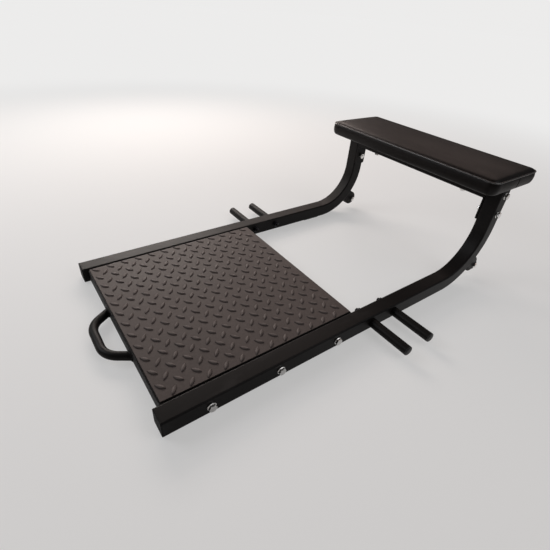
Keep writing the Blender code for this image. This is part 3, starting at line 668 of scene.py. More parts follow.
def flat_block(name, node, material, rounding, corner=0.0):
    """Plate or strip that fills the node's box, with rounded edges."""
    low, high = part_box(node)
    bm = bmesh.new()
    bmesh.ops.create_cube(bm, size=1.0)
    bmesh.ops.scale(bm, vec=high - low, verts=bm.verts)
    bmesh.ops.translate(bm, vec=(low + high) / 2, verts=bm.verts)
    if corner:
        across = [edge for edge in bm.edges
                  if abs(edge.verts[0].co.x - edge.verts[1].co.x) > DOUBLES]
        bmesh.ops.bevel(bm, geom=across, offset=corner, segments=CORNER_CUTS, profile=0.5,
                        affect="EDGES", material=-1)
    soften(make_piece(bm, name, [node], material), rounding)


flat_block("steel_deck", "deck_plate", coat, DECK_EDGE)
for word, side in SIDES:
    flat_block("drop_plate_" + word, "crossbar_plate_" + word, coat, PLATE_EDGE,
               RAIL_CORNER)
    for end in ("front", "rear"):
        flat_block("floor_strip_" + end + "_" + word, "foot_pad_" + end + "_" + word,
                   foot_rubber, PLATE_EDGE)

# %% The pad's board keeps its solid and gets its own finish
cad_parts["pad_board"].data.materials.clear()
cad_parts["pad_board"].data.materials.append(board_wood)

# %% [markdown]
# ## The rubber mat
# The mat is moulded with lens-shaped lugs that lean left and right by turns, like the tread on a
# lorry's step. They could be painted on with bump, but their shadows and their outline against
# the light would be missing. One lug of a few dozen faces is copied over the whole mat instead.
# The solid's top is at the height of the lugs, so the slab between them lies lower.

# %% Mat slab
MAT_ROUNDING = 0.0008
MAT_SHARP = 50.0

mat_low, mat_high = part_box("tread_mat")
front_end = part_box("rail_front_cap_left")[0].y
print("Mat in mm:", [round(1000 * part, 1) for part in mat_high - mat_low])

# %% One lug
LUG_LENGTH = 0.030
LUG_WIDTH = 0.0120
LUG_SUNK = 0.0004
LUG_POINTS = 12
# Rings of a lug above the mat: shares of its length, of its width and of its height
LUG_RINGS = ((1.0, 1.0, 0.0), (0.94, 0.88, 0.40), (0.84, 0.70, 0.72), (0.70, 0.46, 0.93),
             (0.50, 0.14, 1.0))


def one_lug(bm):
    """Lens-shaped lug about the origin, along X, with its foot sunk in the mat."""
    bmesh.ops.create_circle(bm, segments=LUG_POINTS, radius=1.0)
    ring = list(bm.edges)
    for vert in bm.verts:
        vert.co.y *= abs(vert.co.y)
    bmesh.ops.scale(bm, vec=(LUG_LENGTH / 2, LUG_WIDTH / 2, 1.0), verts=bm.verts)
    bmesh.ops.translate(bm, vec=(0, 0, -LUG_SUNK), verts=bm.verts)
    foot = ring
    ring = pull(bm, ring, (0, 0, LUG_SUNK))
    for lower, upper in zip(LUG_RINGS, LUG_RINGS[1:]):
        ring = pull(bm, ring, (0, 0, LUG_HEIGHT * (upper[2] - lower[2])))
        bmesh.ops.scale(bm, vec=(upper[0] / lower[0], upper[1] / lower[1], 1.0),
                        verts=points_of(ring))
    lid(bm, ring)
    lid(bm, foot)


# %% Lug pattern
LUG_PITCH = (0.0489, 0.0459)
LUG_LEAN = math.radians(42)
# First lug of each set: X, distance behind the rails' front ends, rows and lean
LUG_SETS = ((-0.282, 0.037, 13, 1), (-0.257, 0.060, 12, -1))
LUG_COLUMNS = 12


def lug_places():
    """Place and turn of every lug."""
    for first_x, first_y, rows, lean in LUG_SETS:
        for row in range(rows):
            for column in range(LUG_COLUMNS):
                spot = Vector((first_x + column * LUG_PITCH[0],
                               front_end + first_y + row * LUG_PITCH[1], SLAB_TOP))
                yield Matrix.Translation(spot) @ Matrix.Rotation(lean * LUG_LEAN, 4, "Z")


def lugged_mat():
    """Rounded slab with all its lugs."""
    bm = bmesh.new()
    one_lug(bm)
    pattern = list(bm.verts) + list(bm.edges) + list(bm.faces)
    places = list(lug_places())
    for place in places[1:]:
        copy = bmesh.ops.duplicate(bm, geom=pattern)["geom"]
        bmesh.ops.transform(bm, matrix=place, verts=only("BMVert", copy))
    bmesh.ops.transform(bm, matrix=places[0], verts=only("BMVert", pattern))
    slab_high = Vector((mat_high.x, mat_high.y, SLAB_TOP))
    slab = bmesh.ops.create_cube(bm, size=1.0)["verts"]
    bmesh.ops.scale(bm, vec=slab_high - mat_low, verts=slab)
    bmesh.ops.translate(bm, vec=(mat_low + slab_high) / 2, verts=slab)
    edges = unique(edge for vert in slab for edge in vert.link_edges)
    bmesh.ops.bevel(bm, geom=edges, offset=MAT_ROUNDING, segments=3, profile=0.5,
                    affect="EDGES", material=-1)
    print("Lugs:", len(places), "faces:", len(bm.faces))
    mat = make_piece(bm, "lugged_mat", ["tread_mat"], mat_rubber,
                     sharp=MAT_SHARP)
    flat = [vert.index for vert in mat.data.vertices if vert.co.z < SLAB_TOP + DOUBLES]
    mat.vertex_groups.new(name="slab").add(flat, 1.0, "REPLACE")
    soften(mat)
    mat.modifiers["even_shading"].vertex_group = "slab"


lugged_mat()

# %% [markdown]
# ## The carrying handle
# A round tube is bent into a shallow bow and welded to the platform's front bar. The circle is
# pushed and swung along its path, which gives an even tube without the pinch of a coarse curve,
# and the weld is a ring of small ripples where the tube meets the bar.

# %% Handle path
HANDLE_RADIUS = 0.0125
HANDLE_ROOT_HALF = 0.099
HANDLE_BAR_HALF = 0.063
HANDLE_BEND = 0.060
HANDLE_STEPS = 24
BEND_SEGMENTS = 20

handle_low, handle_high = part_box("front_handle")
bow_y = handle_low.y + HANDLE_RADIUS
root_y = handle_high.y
handle_z = (handle_low.z + handle_high.z) / 2
leg = Vector((HANDLE_ROOT_HALF - HANDLE_BAR_HALF, bow_y - root_y, 0))
leg_turn = -math.atan2(leg.y, leg.x)
print("Handle reaches", round(1000 * (root_y - handle_low.y), 1), "mm forward")


def handle_tube():
    """Tube that leaves the bar, bends, runs across, bends and comes back."""
    tangent = HANDLE_BEND * math.tan(leg_turn / 2)
    ahead = leg.normalized()
    inward = Vector((-ahead.y, ahead.x, 0))
    root = Vector((-HANDLE_ROOT_HALF, root_y, handle_z))
    overlap = ahead * HANDLE_RADIUS
    bend = root + ahead * (leg.length - tangent)
    bm = bmesh.new()
    bmesh.ops.create_circle(bm, segments=HANDLE_STEPS, radius=HANDLE_RADIUS)
    ring = list(bm.edges)
    turn = Matrix.Rotation(-leg_turn, 4, "Z") @ Matrix.Rotation(math.pi / 2, 4, "Y")
    put(bm, root - overlap, turn)
    ring = pull(bm, ring, bend - root + overlap)
    ring = swing(bm, ring, bend + inward * HANDLE_BEND, (0, 0, 1), leg_turn, BEND_SEGMENTS)
    ring = pull(bm, ring, (2 * (HANDLE_BAR_HALF - tangent), 0, 0))
    centre = Vector((HANDLE_BAR_HALF - tangent, bow_y + HANDLE_BEND, handle_z))
    ring = swing(bm, ring, centre, (0, 0, 1), leg_turn, BEND_SEGMENTS)
    back = Vector((ahead.x, -ahead.y, 0))
    pull(bm, ring, back * (leg.length - tangent + HANDLE_RADIUS))
    bmesh.ops.bisect_plane(bm, geom=list(bm.verts) + list(bm.edges) + list(bm.faces),
                           plane_co=(0, root_y, 0), plane_no=(0, 1, 0), clear_outer=True)
    open_ends = [edge for edge in bm.edges if edge.is_boundary]
    bmesh.ops.holes_fill(bm, edges=open_ends, sides=0)
    make_piece(bm, "carry_handle", ["front_handle"], coat)


handle_tube()

# %% [markdown]
# ## Weld beads
# A welded joint shows a bead of overlapping ripples under the paint. The handle's two joints are
# in plain view. A torus, stretched to the joint's outline, gets a ripple of smooth noise, so that
# the two beads don't look alike.

# %% Weld ring
BEAD_RADIUS = 0.0022
BEAD_SIDES = 8
BEAD_STEPS = 72
# Ripples: how many there are, their depth as a share, and the noise that upsets them
RIPPLES = 26
RIPPLE_DEPTH = 0.16
ROUGH_DEPTH = 0.2
ROUGH_SCALE = 400


def weld_ring(name, place, turn, radius, stretch):
    """Rippled ring round a tube's foot; stretch widens it along its local X."""
    bm = bmesh.new()
    upright = Matrix.Translation((radius, 0, 0)) @ Matrix.Rotation(math.pi / 2, 4, "X")
    bmesh.ops.create_circle(bm, segments=BEAD_SIDES, radius=BEAD_RADIUS, matrix=upright)
    bmesh.ops.spin(bm, geom=list(bm.verts) + list(bm.edges), cent=(0, 0, 0), axis=(0, 0, 1),
                   angle=2 * math.pi, steps=BEAD_STEPS, use_merge=True)
    for vert in bm.verts:
        around = math.atan2(vert.co.y, vert.co.x)
        middle = Vector((radius * math.cos(around), radius * math.sin(around), 0))
        ripple = 1.0 + RIPPLE_DEPTH * math.sin(RIPPLES * around)
        ripple = ripple + ROUGH_DEPTH * noise.noise(vert.co * ROUGH_SCALE)
        vert.co = middle + (vert.co - middle) * ripple
    bmesh.ops.scale(bm, vec=(stretch, 1.0, 1.0), verts=bm.verts)
    put(bm, place, turn)
    make_piece(bm, name, [], coat)


for word, side in SIDES:
    weld_ring("handle_weld_" + word, (side * HANDLE_ROOT_HALF, root_y, handle_z),
              Matrix.Rotation(math.pi / 2, 4, "X"), HANDLE_RADIUS, 1.0 / math.sin(leg_turn))

# %% [markdown]
# ## The band pegs
# Loops of elastic band hook over these. Each peg is a round tube with a stud on its root and a
# plug in its end. All three are turned shapes, so an outline of radius and height is spun round.

# %% Peg sizes
PEG_RADIUS = 0.015
PEG_WALL = 0.0025
PEG_ROOT = 0.008
STUD_RADIUS = 0.006
PEG_STEPS = 48
PEG_EDGE = 0.0006
# The plug's dome: a straight rim, then an arc in steps of degrees, flatter than a ball
DOME_RIM = 0.0012
DOME_FLATNESS = 0.8
DOME_ANGLES = range(10, 90, 10)
DOME_SHARP = 40.0
PEG_ENDS = [end + "_" + word for word, _ in SIDES for end in ("front", "rear")]


# %% Places on either side
def side_of(name):
    """-1 for a left name and 1 for a right one."""
    return dict(SIDES)[name.rsplit("_", 1)[1]]


def span_out(node):
    """How far from the bench's middle plane a solid begins and ends."""
    return sorted(abs(corner.x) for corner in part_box(node))


def on_side(node, out, height):
    """Point on the solid's side of the bench, halfway along it, at a distance out and a height."""
    low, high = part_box(node)
    return side_of(node) * out, (low.y + high.y) / 2, height


# %% Pegs and their plugs
def band_peg(ending):
    """Open tube on a closed root with its stud."""
    node = "band_peg_" + ending
    inner, outer = span_out(node)
    foot = rail_x + rail_size / 2
    tip = outer - foot
    stud = foot - inner
    bore = PEG_RADIUS - PEG_WALL
    edge = PEG_EDGE
    profile = [(0, -stud), (STUD_RADIUS - edge, -stud), (STUD_RADIUS, edge - stud),
               (STUD_RADIUS, 0), (PEG_RADIUS - edge, 0), (PEG_RADIUS, edge),
               (PEG_RADIUS, tip - edge), (PEG_RADIUS - edge, tip), (bore, tip),
               (bore, PEG_ROOT), (0, PEG_ROOT)]
    bm = bmesh.new()
    turned(bm, profile, PEG_STEPS)
    put(bm, on_side(node, foot, rail_axis), outwards(side_of(node)))
    soften(make_piece(bm, "peg_tube_" + ending, [node], coat))


def peg_plug(ending):
    """Domed plug in the peg's end."""
    node = "peg_cap_" + ending
    rim = span_out("band_peg_" + ending)[1] + PLUG_GAP
    dome = span_out(node)[1] - rim
    stem = PEG_RADIUS - PEG_WALL - PLUG_GAP
    profile = [(0, -PLUG_STEM), (stem, -PLUG_STEM), (stem, 0), (PEG_RADIUS, 0),
               (PEG_RADIUS, DOME_RIM)]
    profile += [(PEG_RADIUS * math.cos(angle) ** DOME_FLATNESS,
                 DOME_RIM + (dome - DOME_RIM) * math.sin(angle))
                for angle in map(math.radians, DOME_ANGLES)]
    profile.append((0, dome))
    bm = bmesh.new()
    turned(bm, profile, PEG_STEPS)
    put(bm, on_side(node, rim, rail_axis), outwards(side_of(node)))
    make_piece(bm, "peg_plug_" + ending, [node], peg_plastic, sharp=DOME_SHARP)


for ending in PEG_ENDS:
    band_peg(ending)
    peg_plug(ending)
print("Pegs:", len(PEG_ENDS))

# %% [markdown]
# ## Nuts and bolts
# A hexagon with a plain bevel looks like a toy. On a real head a cone cuts the corners back, and
# leaves a curved shoulder on each flat. The same curve comes from a ring of 48 points whose
# height follows their distance from the middle.

# %% Hexagon with its shoulder
HEX_POINTS = 48
# The flat face on top is this share of the width over the flats
FACE_SHARE = 0.97
SHOULDER_SLOPE = math.tan(math.radians(30))


def round_off(edges, radius, height):
    """Move a ring's points to a circle at a height."""
    for vert in points_of(edges):
        around = math.atan2(vert.co.y, vert.co.x)
        vert.co = (radius * math.cos(around), radius * math.sin(around), height)


def six_sides(edges, flats, height, slope):
    """Move a ring's points to a hexagon, and down by a slope towards its corners."""
    for vert in points_of(edges):
        around = math.atan2(vert.co.y, vert.co.x)
        lean = (around + math.pi / 6) % (math.pi / 3) - math.pi / 6
        reach = flats / 2 / math.cos(lean)
        drop = (reach - flats / 2 * FACE_SHARE) * slope
        vert.co = (reach * math.cos(around), reach * math.sin(around), height - drop)


def hexagon(bm, flats, bottom, top):
    """Closed hexagon between two heights, with the cone's shoulder at the top."""
    made = bmesh.ops.create_circle(bm, segments=HEX_POINTS, radius=flats / 2)
    lower = unique(edge for vert in made["verts"] for edge in vert.link_edges)
    six_sides(lower, flats, bottom, 0.0)
    upper = pull(bm, lower, (0, 0, top - bottom))
    six_sides(upper, flats, top, SHOULDER_SLOPE)
    rim = pull(bm, upper, (0, 0, 0))
    round_off(rim, flats / 2 * FACE_SHARE, top)
    lid(bm, rim)
    lid(bm, lower)


# %% Washers and threads
WASHER_RADIUS = 0.012
WASHER_THICK = 0.0025
WASHER_EDGE = 0.0004
THREAD_PITCH = 0.00175
THREAD_STEPS = 24
THREAD_END = 0.82
# Points of one ridge: share of the radius, and share of the pitch
RIDGE = ((0.86, 0.20), (1.00, 0.55), (0.86, 0.95))


def washer(bm, bore):
    """Flat washer with rounded rims, from z = 0 upwards."""
    edge = WASHER_EDGE
    profile = [(bore, 0), (WASHER_RADIUS - edge, 0), (WASHER_RADIUS, edge),
               (WASHER_RADIUS, WASHER_THICK - edge), (WASHER_RADIUS - edge, WASHER_THICK),
               (bore, WASHER_THICK), (bore, 0)]
    turned(bm, profile, HEX_POINTS)


def threaded_end(bm, radius, start, end):
    """Ridged end of a bolt, from one height down to another."""
    ridges = max(1, round((start - end) / THREAD_PITCH))
    pitch = (start - end) / ridges
    profile = [(0, end), (radius * THREAD_END, end)]
    for number in range(ridges):
        low = end + number * pitch
        profile += [(radius * share, low + place * pitch) for share, place in RIDGE]
    profile.append((0, start))
    turned(bm, profile, THREAD_STEPS)


# %% Bolts
BOLT_RADIUS = 0.006
BOLT_FLATS = 0.019
AXLE_RADIUS = 0.005
AXLE_FLATS = 0.016
HEAD_HEIGHT = 0.0075
NUT_HEIGHT = 0.010
THREAD_SHOW = 0.003
THREAD_SUNK = 0.001
# The shank is a little thinner than the thread's ridges
SHANK_SHARE = 0.97
BOLT_SHARP = 28.0


def merge_in(bm, shape):
    """Add a shape that is built in its own bmesh, so that its rings stay apart."""
    part = bmesh.new()
    shape(part)
    bmesh.ops.recalc_face_normals(part, faces=part.faces)
    mesh = bpy.data.meshes.new("part")
    part.to_mesh(mesh)
    part.free()
    bm.from_mesh(mesh)
    bpy.data.meshes.remove(mesh)


def bolt(name, node, place, turn, length, radius, flats, has_washer, has_nut):
    """Head, washer, shank and nut. The bearing face is at the place, and the shank goes back."""
    bm = bmesh.new()
    seat = WASHER_THICK if has_washer else 0.0
    merge_in(bm, lambda part: hexagon(part, flats, seat, seat + HEAD_HEIGHT))
    if has_washer:
        merge_in(bm, lambda part: washer(part, radius))
    end = -length + (THREAD_SHOW if has_nut else 0.0)
    core = radius * SHANK_SHARE
    shank = [(0, seat), (core, seat), (core, end), (0, end)]
    merge_in(bm, lambda part: turned(part, shank, THREAD_STEPS))
    if has_nut:
        merge_in(bm, lambda part: hexagon(part, flats, end, end + NUT_HEIGHT))
        merge_in(bm, lambda part: threaded_end(part, radius, end + THREAD_SUNK, -length))
    put(bm, place, turn)
    soften(make_piece(bm, name, [node], zinc, sharp=BOLT_SHARP))


# %% Bolts across the rails
def cross_bolt(name, node, radius, flats, has_washer):
    """Bolt through a rail, or through a wheel's ears, with its head on the outer side."""
    low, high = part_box(node)
    inner, outer = span_out(node)
    seat = WASHER_THICK if has_washer else 0.0
    bearing = outer - HEAD_HEIGHT - seat
    place = on_side(node, bearing, (low.z + high.z) / 2)
    bolt(name, node, place, outwards(side_of(node)), bearing - inner, radius, flats,
         has_washer=has_washer, has_nut=True)


for word, _ in SIDES:
    for end in ("front", "middle", "rear"):
        cross_bolt("hex_bolt_deck_" + end + "_" + word, "platform_bolt_" + end + "_" + word,
                   BOLT_RADIUS, BOLT_FLATS, has_washer=True)
    for end in ("upper", "lower"):
        cross_bolt("hex_bolt_post_" + end + "_" + word, "post_bolt_" + end + "_" + word,
                   BOLT_RADIUS, BOLT_FLATS, has_washer=True)
    cross_bolt("axle_bolt_" + word, "wheel_axle_bolt_" + word,
               AXLE_RADIUS, AXLE_FLATS, has_washer=False)

# %% Bolts up into the board, and the pegs' nuts
for word, side in SIDES:
    low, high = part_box("pad_bolt_" + word)
    bearing = low.z + HEAD_HEIGHT + WASHER_THICK
    bolt("hex_bolt_pad_" + word, "pad_bolt_" + word,
         ((low.x + high.x) / 2, post_y, bearing), Matrix.Rotation(math.pi, 4, "X"),
         high.z - bearing, BOLT_RADIUS, BOLT_FLATS, has_washer=True, has_nut=False)


def peg_nut(ending):
    """Nut and washer on a peg's stud, inside the rail."""
    node = "peg_nut_" + ending
    bm = bmesh.new()
    merge_in(bm, lambda part: hexagon(part, BOLT_FLATS, WASHER_THICK, WASHER_THICK + NUT_HEIGHT))
    merge_in(bm, lambda part: washer(part, STUD_RADIUS))
    put(bm, on_side(node, span_out(node)[1], rail_axis), outwards(-side_of(node)))
    soften(make_piece(bm, "hex_nut_" + ending, [node], black_zinc, sharp=BOLT_SHARP))


for ending in PEG_ENDS:
    peg_nut(ending)

# %% [markdown]
# ## The transport wheels
# A rubber tyre sits on a plastic hub, and the hub turns on a bolt between two ears welded behind
# the rail's bend. Tyre and hub are turned outlines. An ear is the hull of a round boss and the
# two corners of its foot, which is what a shop cuts from flat bar.

# %% Turned parts of a wheel
WHEEL_STEPS = 64
TYRE_ROUND = 0.004
TYRE_DEPTH = 0.010
SHOULDER_ANGLES = range(90, -1, -15)
# Steps of a groove: share of the tyre's half width, and depth
GROOVE = ((0.36, 0.0), (0.33, 0.0009), (0.27, 0.0009), (0.24, 0.0))


def wheel_part(name, node, half_profile, material):
    """Part turned from one half of its outline and the mirrored half, on the wheel's own body."""
    word = node.rsplit("_", 1)[1]
    low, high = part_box("wheel_tyre_" + word)
    other_half = [(radius, -height) for radius, height in reversed(half_profile)]
    bm = bmesh.new()
    turned(bm, half_profile + other_half + half_profile[:1], WHEEL_STEPS)
    put(bm, (low + high) / 2, outwards(side_of(node)))
    make_piece(bm, name, [node], material, "wheel_" + word)


def wheel_tyre(word):
    """Tyre with round shoulders and a groove on each side of its middle."""
    low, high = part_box("wheel_tyre_" + word)
    radius = (high.z - low.z) / 2
    half = (high.x - low.x) / 2
    profile = [(radius - TYRE_DEPTH, half)]
    profile += [(radius - TYRE_ROUND * (1 - math.cos(angle)),
                 half - TYRE_ROUND * (1 - math.sin(angle)))
                for angle in map(math.radians, SHOULDER_ANGLES)]
    profile += [(radius - depth, share * half) for share, depth in GROOVE]
    wheel_part("wheel_tread_" + word, "wheel_tyre_" + word, profile, tyre_rubber)


# %% Hubs
HUB_RIM = 0.003
HUB_WEB = 0.006
HUB_BOSS = 0.0105
HUB_EDGE = 0.0008
RUN_GAP = 0.0004


def wheel_hub(word):
    """Hub with a boss round the axle, a thin web and a rim as wide as the tyre."""
    low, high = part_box("wheel_hub_" + word)
    tyre_low, tyre_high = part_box("wheel_tyre_" + word)
    half = (tyre_high.x - tyre_low.x) / 2
    boss = (high.x - low.x) / 2
    rim = (high.z - low.z) / 2
    inner = rim - HUB_RIM
    web = HUB_WEB / 2
    profile = [(AXLE_RADIUS + RUN_GAP, boss), (HUB_BOSS - HUB_EDGE, boss),
               (HUB_BOSS, boss - HUB_EDGE), (HUB_BOSS, web + HUB_EDGE), (HUB_BOSS + HUB_EDGE, web),
               (inner - HUB_EDGE, web), (inner, web + HUB_EDGE), (inner, half - HUB_EDGE),
               (inner + HUB_EDGE, half), (rim, half)]
    wheel_part("wheel_core_" + word, "wheel_hub_" + word, profile, hub_plastic)


for word, _ in SIDES:
    wheel_tyre(word)
    wheel_hub(word)

# %% Ears
EAR_BOSS = 0.016
EAR_FOOT_HALF = 0.024
EAR_SINK = 0.0008
EAR_STEPS = 48
EAR_EDGE = 0.0005

hub_low, hub_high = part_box("wheel_hub_right")
axle = (hub_low + hub_high) / 2
bend_centre = Vector((0, bend_start, rail_axis + BEND_RADIUS))


def wheel_ear(name, node):
    """Plate between the bend's outer face and the axle."""
    low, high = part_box(node)
    line = Vector((0, axle.y, axle.z)) - bend_centre
    foot = BEND_RADIUS + rail_size / 2 - EAR_SINK
    spread = math.asin(EAR_FOOT_HALF / foot)
    bm = bmesh.new()
    for x in (low.x, high.x):
        bmesh.ops.create_circle(bm, segments=EAR_STEPS, radius=EAR_BOSS,
                                matrix=Matrix.Translation((x, axle.y, axle.z)) @ FACING_X)
        for angle in (-spread, spread):
            corner = bend_centre + Matrix.Rotation(angle, 3, "X") @ line.normalized() * foot
            bmesh.ops.create_vert(bm, co=(x, corner.y, corner.z))
    bmesh.ops.convex_hull(bm, input=bm.verts)
    bmesh.ops.dissolve_limit(bm, angle_limit=math.radians(1), verts=bm.verts, edges=bm.edges)
    soften(make_piece(bm, name, [node], coat), EAR_EDGE)


for word, _ in SIDES:
    for place in ("outer", "inner"):
        wheel_ear("axle_ear_" + place + "_" + word, "wheel_ear_" + place + "_" + word)

# %% [markdown]
# ## The pad
# Foam on a board, under a sewn vinyl cover. A strip of vinyl runs round the side and is sewn to
# the top panel, and the seam shows as a thin bright line all the way round. The strip's ends meet
# on the right end in an upright joint. Cloth simulation swells the panels between their seams,
# which no bevel can do, and the seam itself is pinned, so that it stays a crisp line.

# %% Pad sizes
PAD_CORNER = 0.028
PAD_CROWN = 0.0015
SWELL_ROOM = 0.0030
EDGE_ROLL = 0.018
SEAM_DROP = 0.0118
PAD_COLUMNS = 104
PAD_ROWS = 39
# Rings of the side strip below the seam: inset from the outline, and height as a share
SIDE_RINGS = ((0.0004, 0.70), (-0.0008, 0.60), (-0.0014, 0.49), (-0.0014, 0.38),
              (-0.0006, 0.27), (0.0008, 0.17), (0.0026, 0.08), (0.0060, 0.0))
SEAM_INSET = 0.0022
# Width of the narrow row of faces beside the seam, which keeps its edge firm
SEAM_BAND = 0.0022
RECESS_GAP = 0.0003

pad_low, pad_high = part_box("pad_cushion")
board_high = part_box("pad_board")[1]
pad_middle = (pad_low + pad_high) / 2
pad_size = pad_high - pad_low
pad_core = (pad_size.x / 2 - PAD_CORNER, pad_size.y / 2 - PAD_CORNER)
seam_z = pad_high.z - SEAM_DROP
print("Pad in mm:", [round(1000 * part, 1) for part in pad_size])


# %% Distance from the pad's outline
def beyond_core(place):
    """Step from the rectangle between the corner centres out to a point."""
    over_x = max(0.0, abs(place.x - pad_middle.x) - pad_core[0])
    over_y = max(0.0, abs(place.y - pad_middle.y) - pad_core[1])
    return Vector((math.copysign(over_x, place.x - pad_middle.x),
                   math.copysign(over_y, place.y - pad_middle.y), 0.0))


def depth_inside(place):
    """How far a point lies inside the pad's outline, up to the corners' radius."""
    return PAD_CORNER - beyond_core(place).length


# %% Pad cage
def round_corner(vert):
    """Pull the corners of a square grid round."""
    over = beyond_core(vert.co)
    if over.x and over.y:
        factor = max(abs(over.x), abs(over.y)) / over.length
        vert.co += over * (factor - 1)


def move_ring(bm, edges, depth, height):
    """Pull a new ring out of this one, to a depth inside the outline and a height."""
    edges = pull(bm, edges, (0, 0, 0))
    for vert in points_of(edges):
        over = beyond_core(vert.co)
        vert.co += over.normalized() * (PAD_CORNER - depth - over.length)
        vert.co.z = height
    return edges


def flat_panel(bm):
    """Grid of the top panel in the seam's plane. Returns the ring of its edge."""
    bmesh.ops.create_grid(bm, x_segments=PAD_COLUMNS, y_segments=PAD_ROWS, size=0.5)
    bmesh.ops.scale(bm, vec=(pad_size.x - 2 * SEAM_INSET, pad_size.y - 2 * SEAM_INSET, 1.0),
                    verts=bm.verts)
    bmesh.ops.translate(bm, vec=(pad_middle.x, pad_middle.y, seam_z), verts=bm.verts)
    for vert in bm.verts:
        round_corner(vert)
    ring = [edge for edge in bm.edges if edge.is_boundary]
    bmesh.ops.inset_region(bm, faces=list(bm.faces), thickness=SEAM_BAND)
    return ring


def crown(verts):
    """Roll the panel's edge up from the seam, and crown its middle."""
    for vert in verts:
        depth = min(1.0, depth_inside(vert.co) / EDGE_ROLL)
        aside = abs(vert.co.y - pad_middle.y) / pad_size.y * 2
        vert.co.z += (SEAM_DROP - SWELL_ROOM - PAD_CROWN) * math.sqrt(1 - (1 - depth) ** 2)
        vert.co.z += PAD_CROWN * (1 - aside ** 3) * depth


def pad_cage():
    """Top panel, strip round the side, hem underneath and recess for the board."""
    bm = bmesh.new()
    ring = flat_panel(bm)
    top = list(bm.verts)
    hem = pad_size.x / 2 - board_high.x - RECESS_GAP
    ceiling = bmesh.ops.duplicate(bm, geom=top + list(bm.edges) + list(bm.faces))["geom"]
    for vert in only("BMVert", ceiling):
        vert.co -= beyond_core(vert.co) * (hem - SEAM_INSET) / (PAD_CORNER - SEAM_INSET)
        vert.co.z = board_high.z + RECESS_GAP
    crown(top)
    for vert in points_of(ring):
        vert.co.z = seam_z
    for depth, share in SIDE_RINGS:
        ring = move_ring(bm, ring, depth, pad_low.z + share * pad_size.z)
    ring = move_ring(bm, ring, hem, pad_low.z)
    move_ring(bm, ring, hem, board_high.z + RECESS_GAP)
    return bm


# %% Swell the cover
CLOTH_FRAMES = 20
LARGEST_SWELL = 0.0035
COVER = {"use_pressure": True, "uniform_pressure_force": 4.0, "tension_stiffness": 30.0,
         "compression_stiffness": 8.0, "shear_stiffness": 6.0, "bending_stiffness": 0.4}


def swell(piece, held):
    """Blow the cover up a little between its seams, and keep the result."""
    piece.vertex_groups.new(name="held").add(held, 1.0, "REPLACE")
    cloth = piece.modifiers.new("cloth", "CLOTH")
    for name, value in COVER.items():
        setattr(cloth.settings, name, value)
    cloth.settings.effector_weights.gravity = 0.0
    cloth.settings.vertex_group_mass = "held"
    cloth.point_cache.frame_end = CLOTH_FRAMES
    scene = bpy.context.scene
    for number in range(1, CLOTH_FRAMES + 1):
        scene.frame_set(number)
    graph = bpy.context.evaluated_depsgraph_get()
    swollen = [vert.co.copy() for vert in piece.evaluated_get(graph).data.vertices]
    piece.modifiers.clear()
    piece.vertex_groups.clear()
    scene.frame_set(1)
    moves = [place - vert.co for vert, place in zip(piece.data.vertices, swollen)]
    furthest = max(move.length for move in moves)
    for vert, move in zip(piece.data.vertices, moves):
        vert.co += move * min(1.0, LARGEST_SWELL / furthest)
    print("The cloth went", round(1000 * furthest, 1), "mm, and keeps the shape of that at most",
          round(1000 * LARGEST_SWELL, 1), "mm deep")


# %% Upright joint in the side strip
JOINT_BEHIND = 0.009
JOINT_HALF = 0.0026
JOINT_DEPTH = 0.0030
# The faces that are cut for the joint: how near they lie, and how far they face to the right
JOINT_REACH = 0.02
JOINT_FACING = 0.6


def sink_joint(bm):
    """Press the upright joint of the side strip into its right end."""
    joint_y = pad_middle.y + JOINT_BEHIND
    for shift in (-JOINT_HALF, JOINT_HALF, 0.0):
        strip = [face for face in bm.faces if face.normal.x > JOINT_FACING
                 and abs(face.calc_center_median().y - joint_y) < JOINT_REACH]
        geom = unique(item for face in strip for item in (face, *face.edges, *face.verts))
        cut = bmesh.ops.bisect_plane(bm, geom=geom, dist=DOUBLES, plane_no=(0, 1, 0),
                                     plane_co=(0, joint_y + shift, 0))["geom_cut"]
    for vert in only("BMVert", cut):
        vert.co.x -= JOINT_DEPTH


# %% Sew the pad
def on_seam(vert):
    """True for a point of the sewn edge of the top panel."""
    return abs(vert.co.z - seam_z) < DOUBLES and depth_inside(vert.co) < 2 * SEAM_INSET


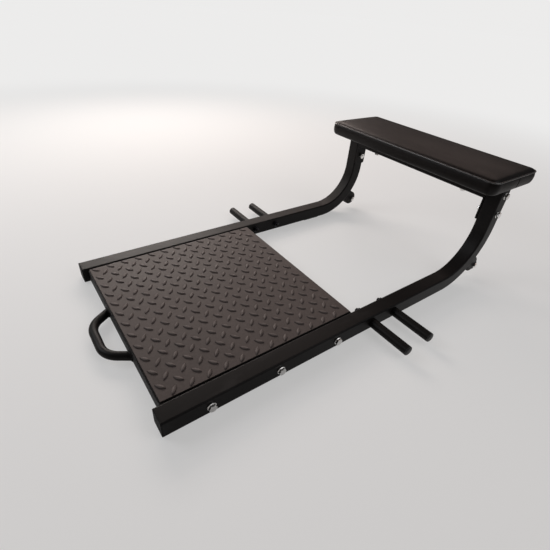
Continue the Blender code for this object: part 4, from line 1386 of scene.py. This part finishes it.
def is_held(vert):
    """True where the cover can't swell: on its seam, at its hem and over the board."""
    hem_top = pad_low.z + SIDE_RINGS[-2][1] * pad_size.z
    over_board = vert.co.z < seam_z and depth_inside(vert.co) > PAD_CORNER - DOUBLES
    return on_seam(vert) or over_board or vert.co.z < hem_top + DOUBLES


def sewn_pad():
    """The whole cover: swollen between its seams, with the joint in its side strip."""
    pad = make_piece(pad_cage(), "sewn_pad", ["pad_cushion"], cover_vinyl,
                     sharp=ALL_SMOOTH)
    swell(pad, [vert.index for vert in pad.data.vertices if is_held(vert)])
    bm = bmesh.new()
    bm.from_mesh(pad.data)
    sink_joint(bm)
    bm.to_mesh(pad.data)
    bm.free()
    fineness = pad.modifiers.new("fineness", "SUBSURF")
    fineness.levels = 1
    fineness.render_levels = 1


sewn_pad()

# %% [markdown]
# The seam between the top panel and the strip is folded over a thin cord, so that it stands
# proud and catches the light in one line. The cord's vinyl is paler than the cover's, a painted
# highlight along the seam. A small round section is swung round each corner and pulled along
# each side, and a bridge between its last ring and its first closes the cord.

# %% Seam cord
CORD_RADIUS = 0.0025
CORD_OUT = 0.0005
CORD_SIDES = 12
ARC_STEPS = 10
# Signs of X and Y at the corners, in the order of the cord's way round
CORNERS = ((1, 1), (-1, 1), (-1, -1), (1, -1))


def seam_cord():
    """Closed cord along the seam, a little proud of it."""
    centres = [Vector((pad_middle.x + right * pad_core[0], pad_middle.y + behind * pad_core[1],
                       seam_z)) for right, behind in CORNERS]
    reach = Vector((PAD_CORNER - SEAM_INSET + CORD_OUT, 0, 0))
    bm = bmesh.new()
    bmesh.ops.create_circle(bm, segments=CORD_SIDES, radius=CORD_RADIUS)
    first = list(bm.edges)
    put(bm, centres[0] + reach, FACING_Y)
    ring = swing(bm, first, centres[0], (0, 0, 1), math.pi / 2, ARC_STEPS)
    for centre, following in zip(centres, centres[1:]):
        ring = pull(bm, ring, following - centre)
        ring = swing(bm, ring, following, (0, 0, 1), math.pi / 2, ARC_STEPS)
    bmesh.ops.bridge_loops(bm, edges=first + ring)
    make_piece(bm, "seam_cord", [], cord_vinyl, sharp=ALL_SMOOTH)


seam_cord()
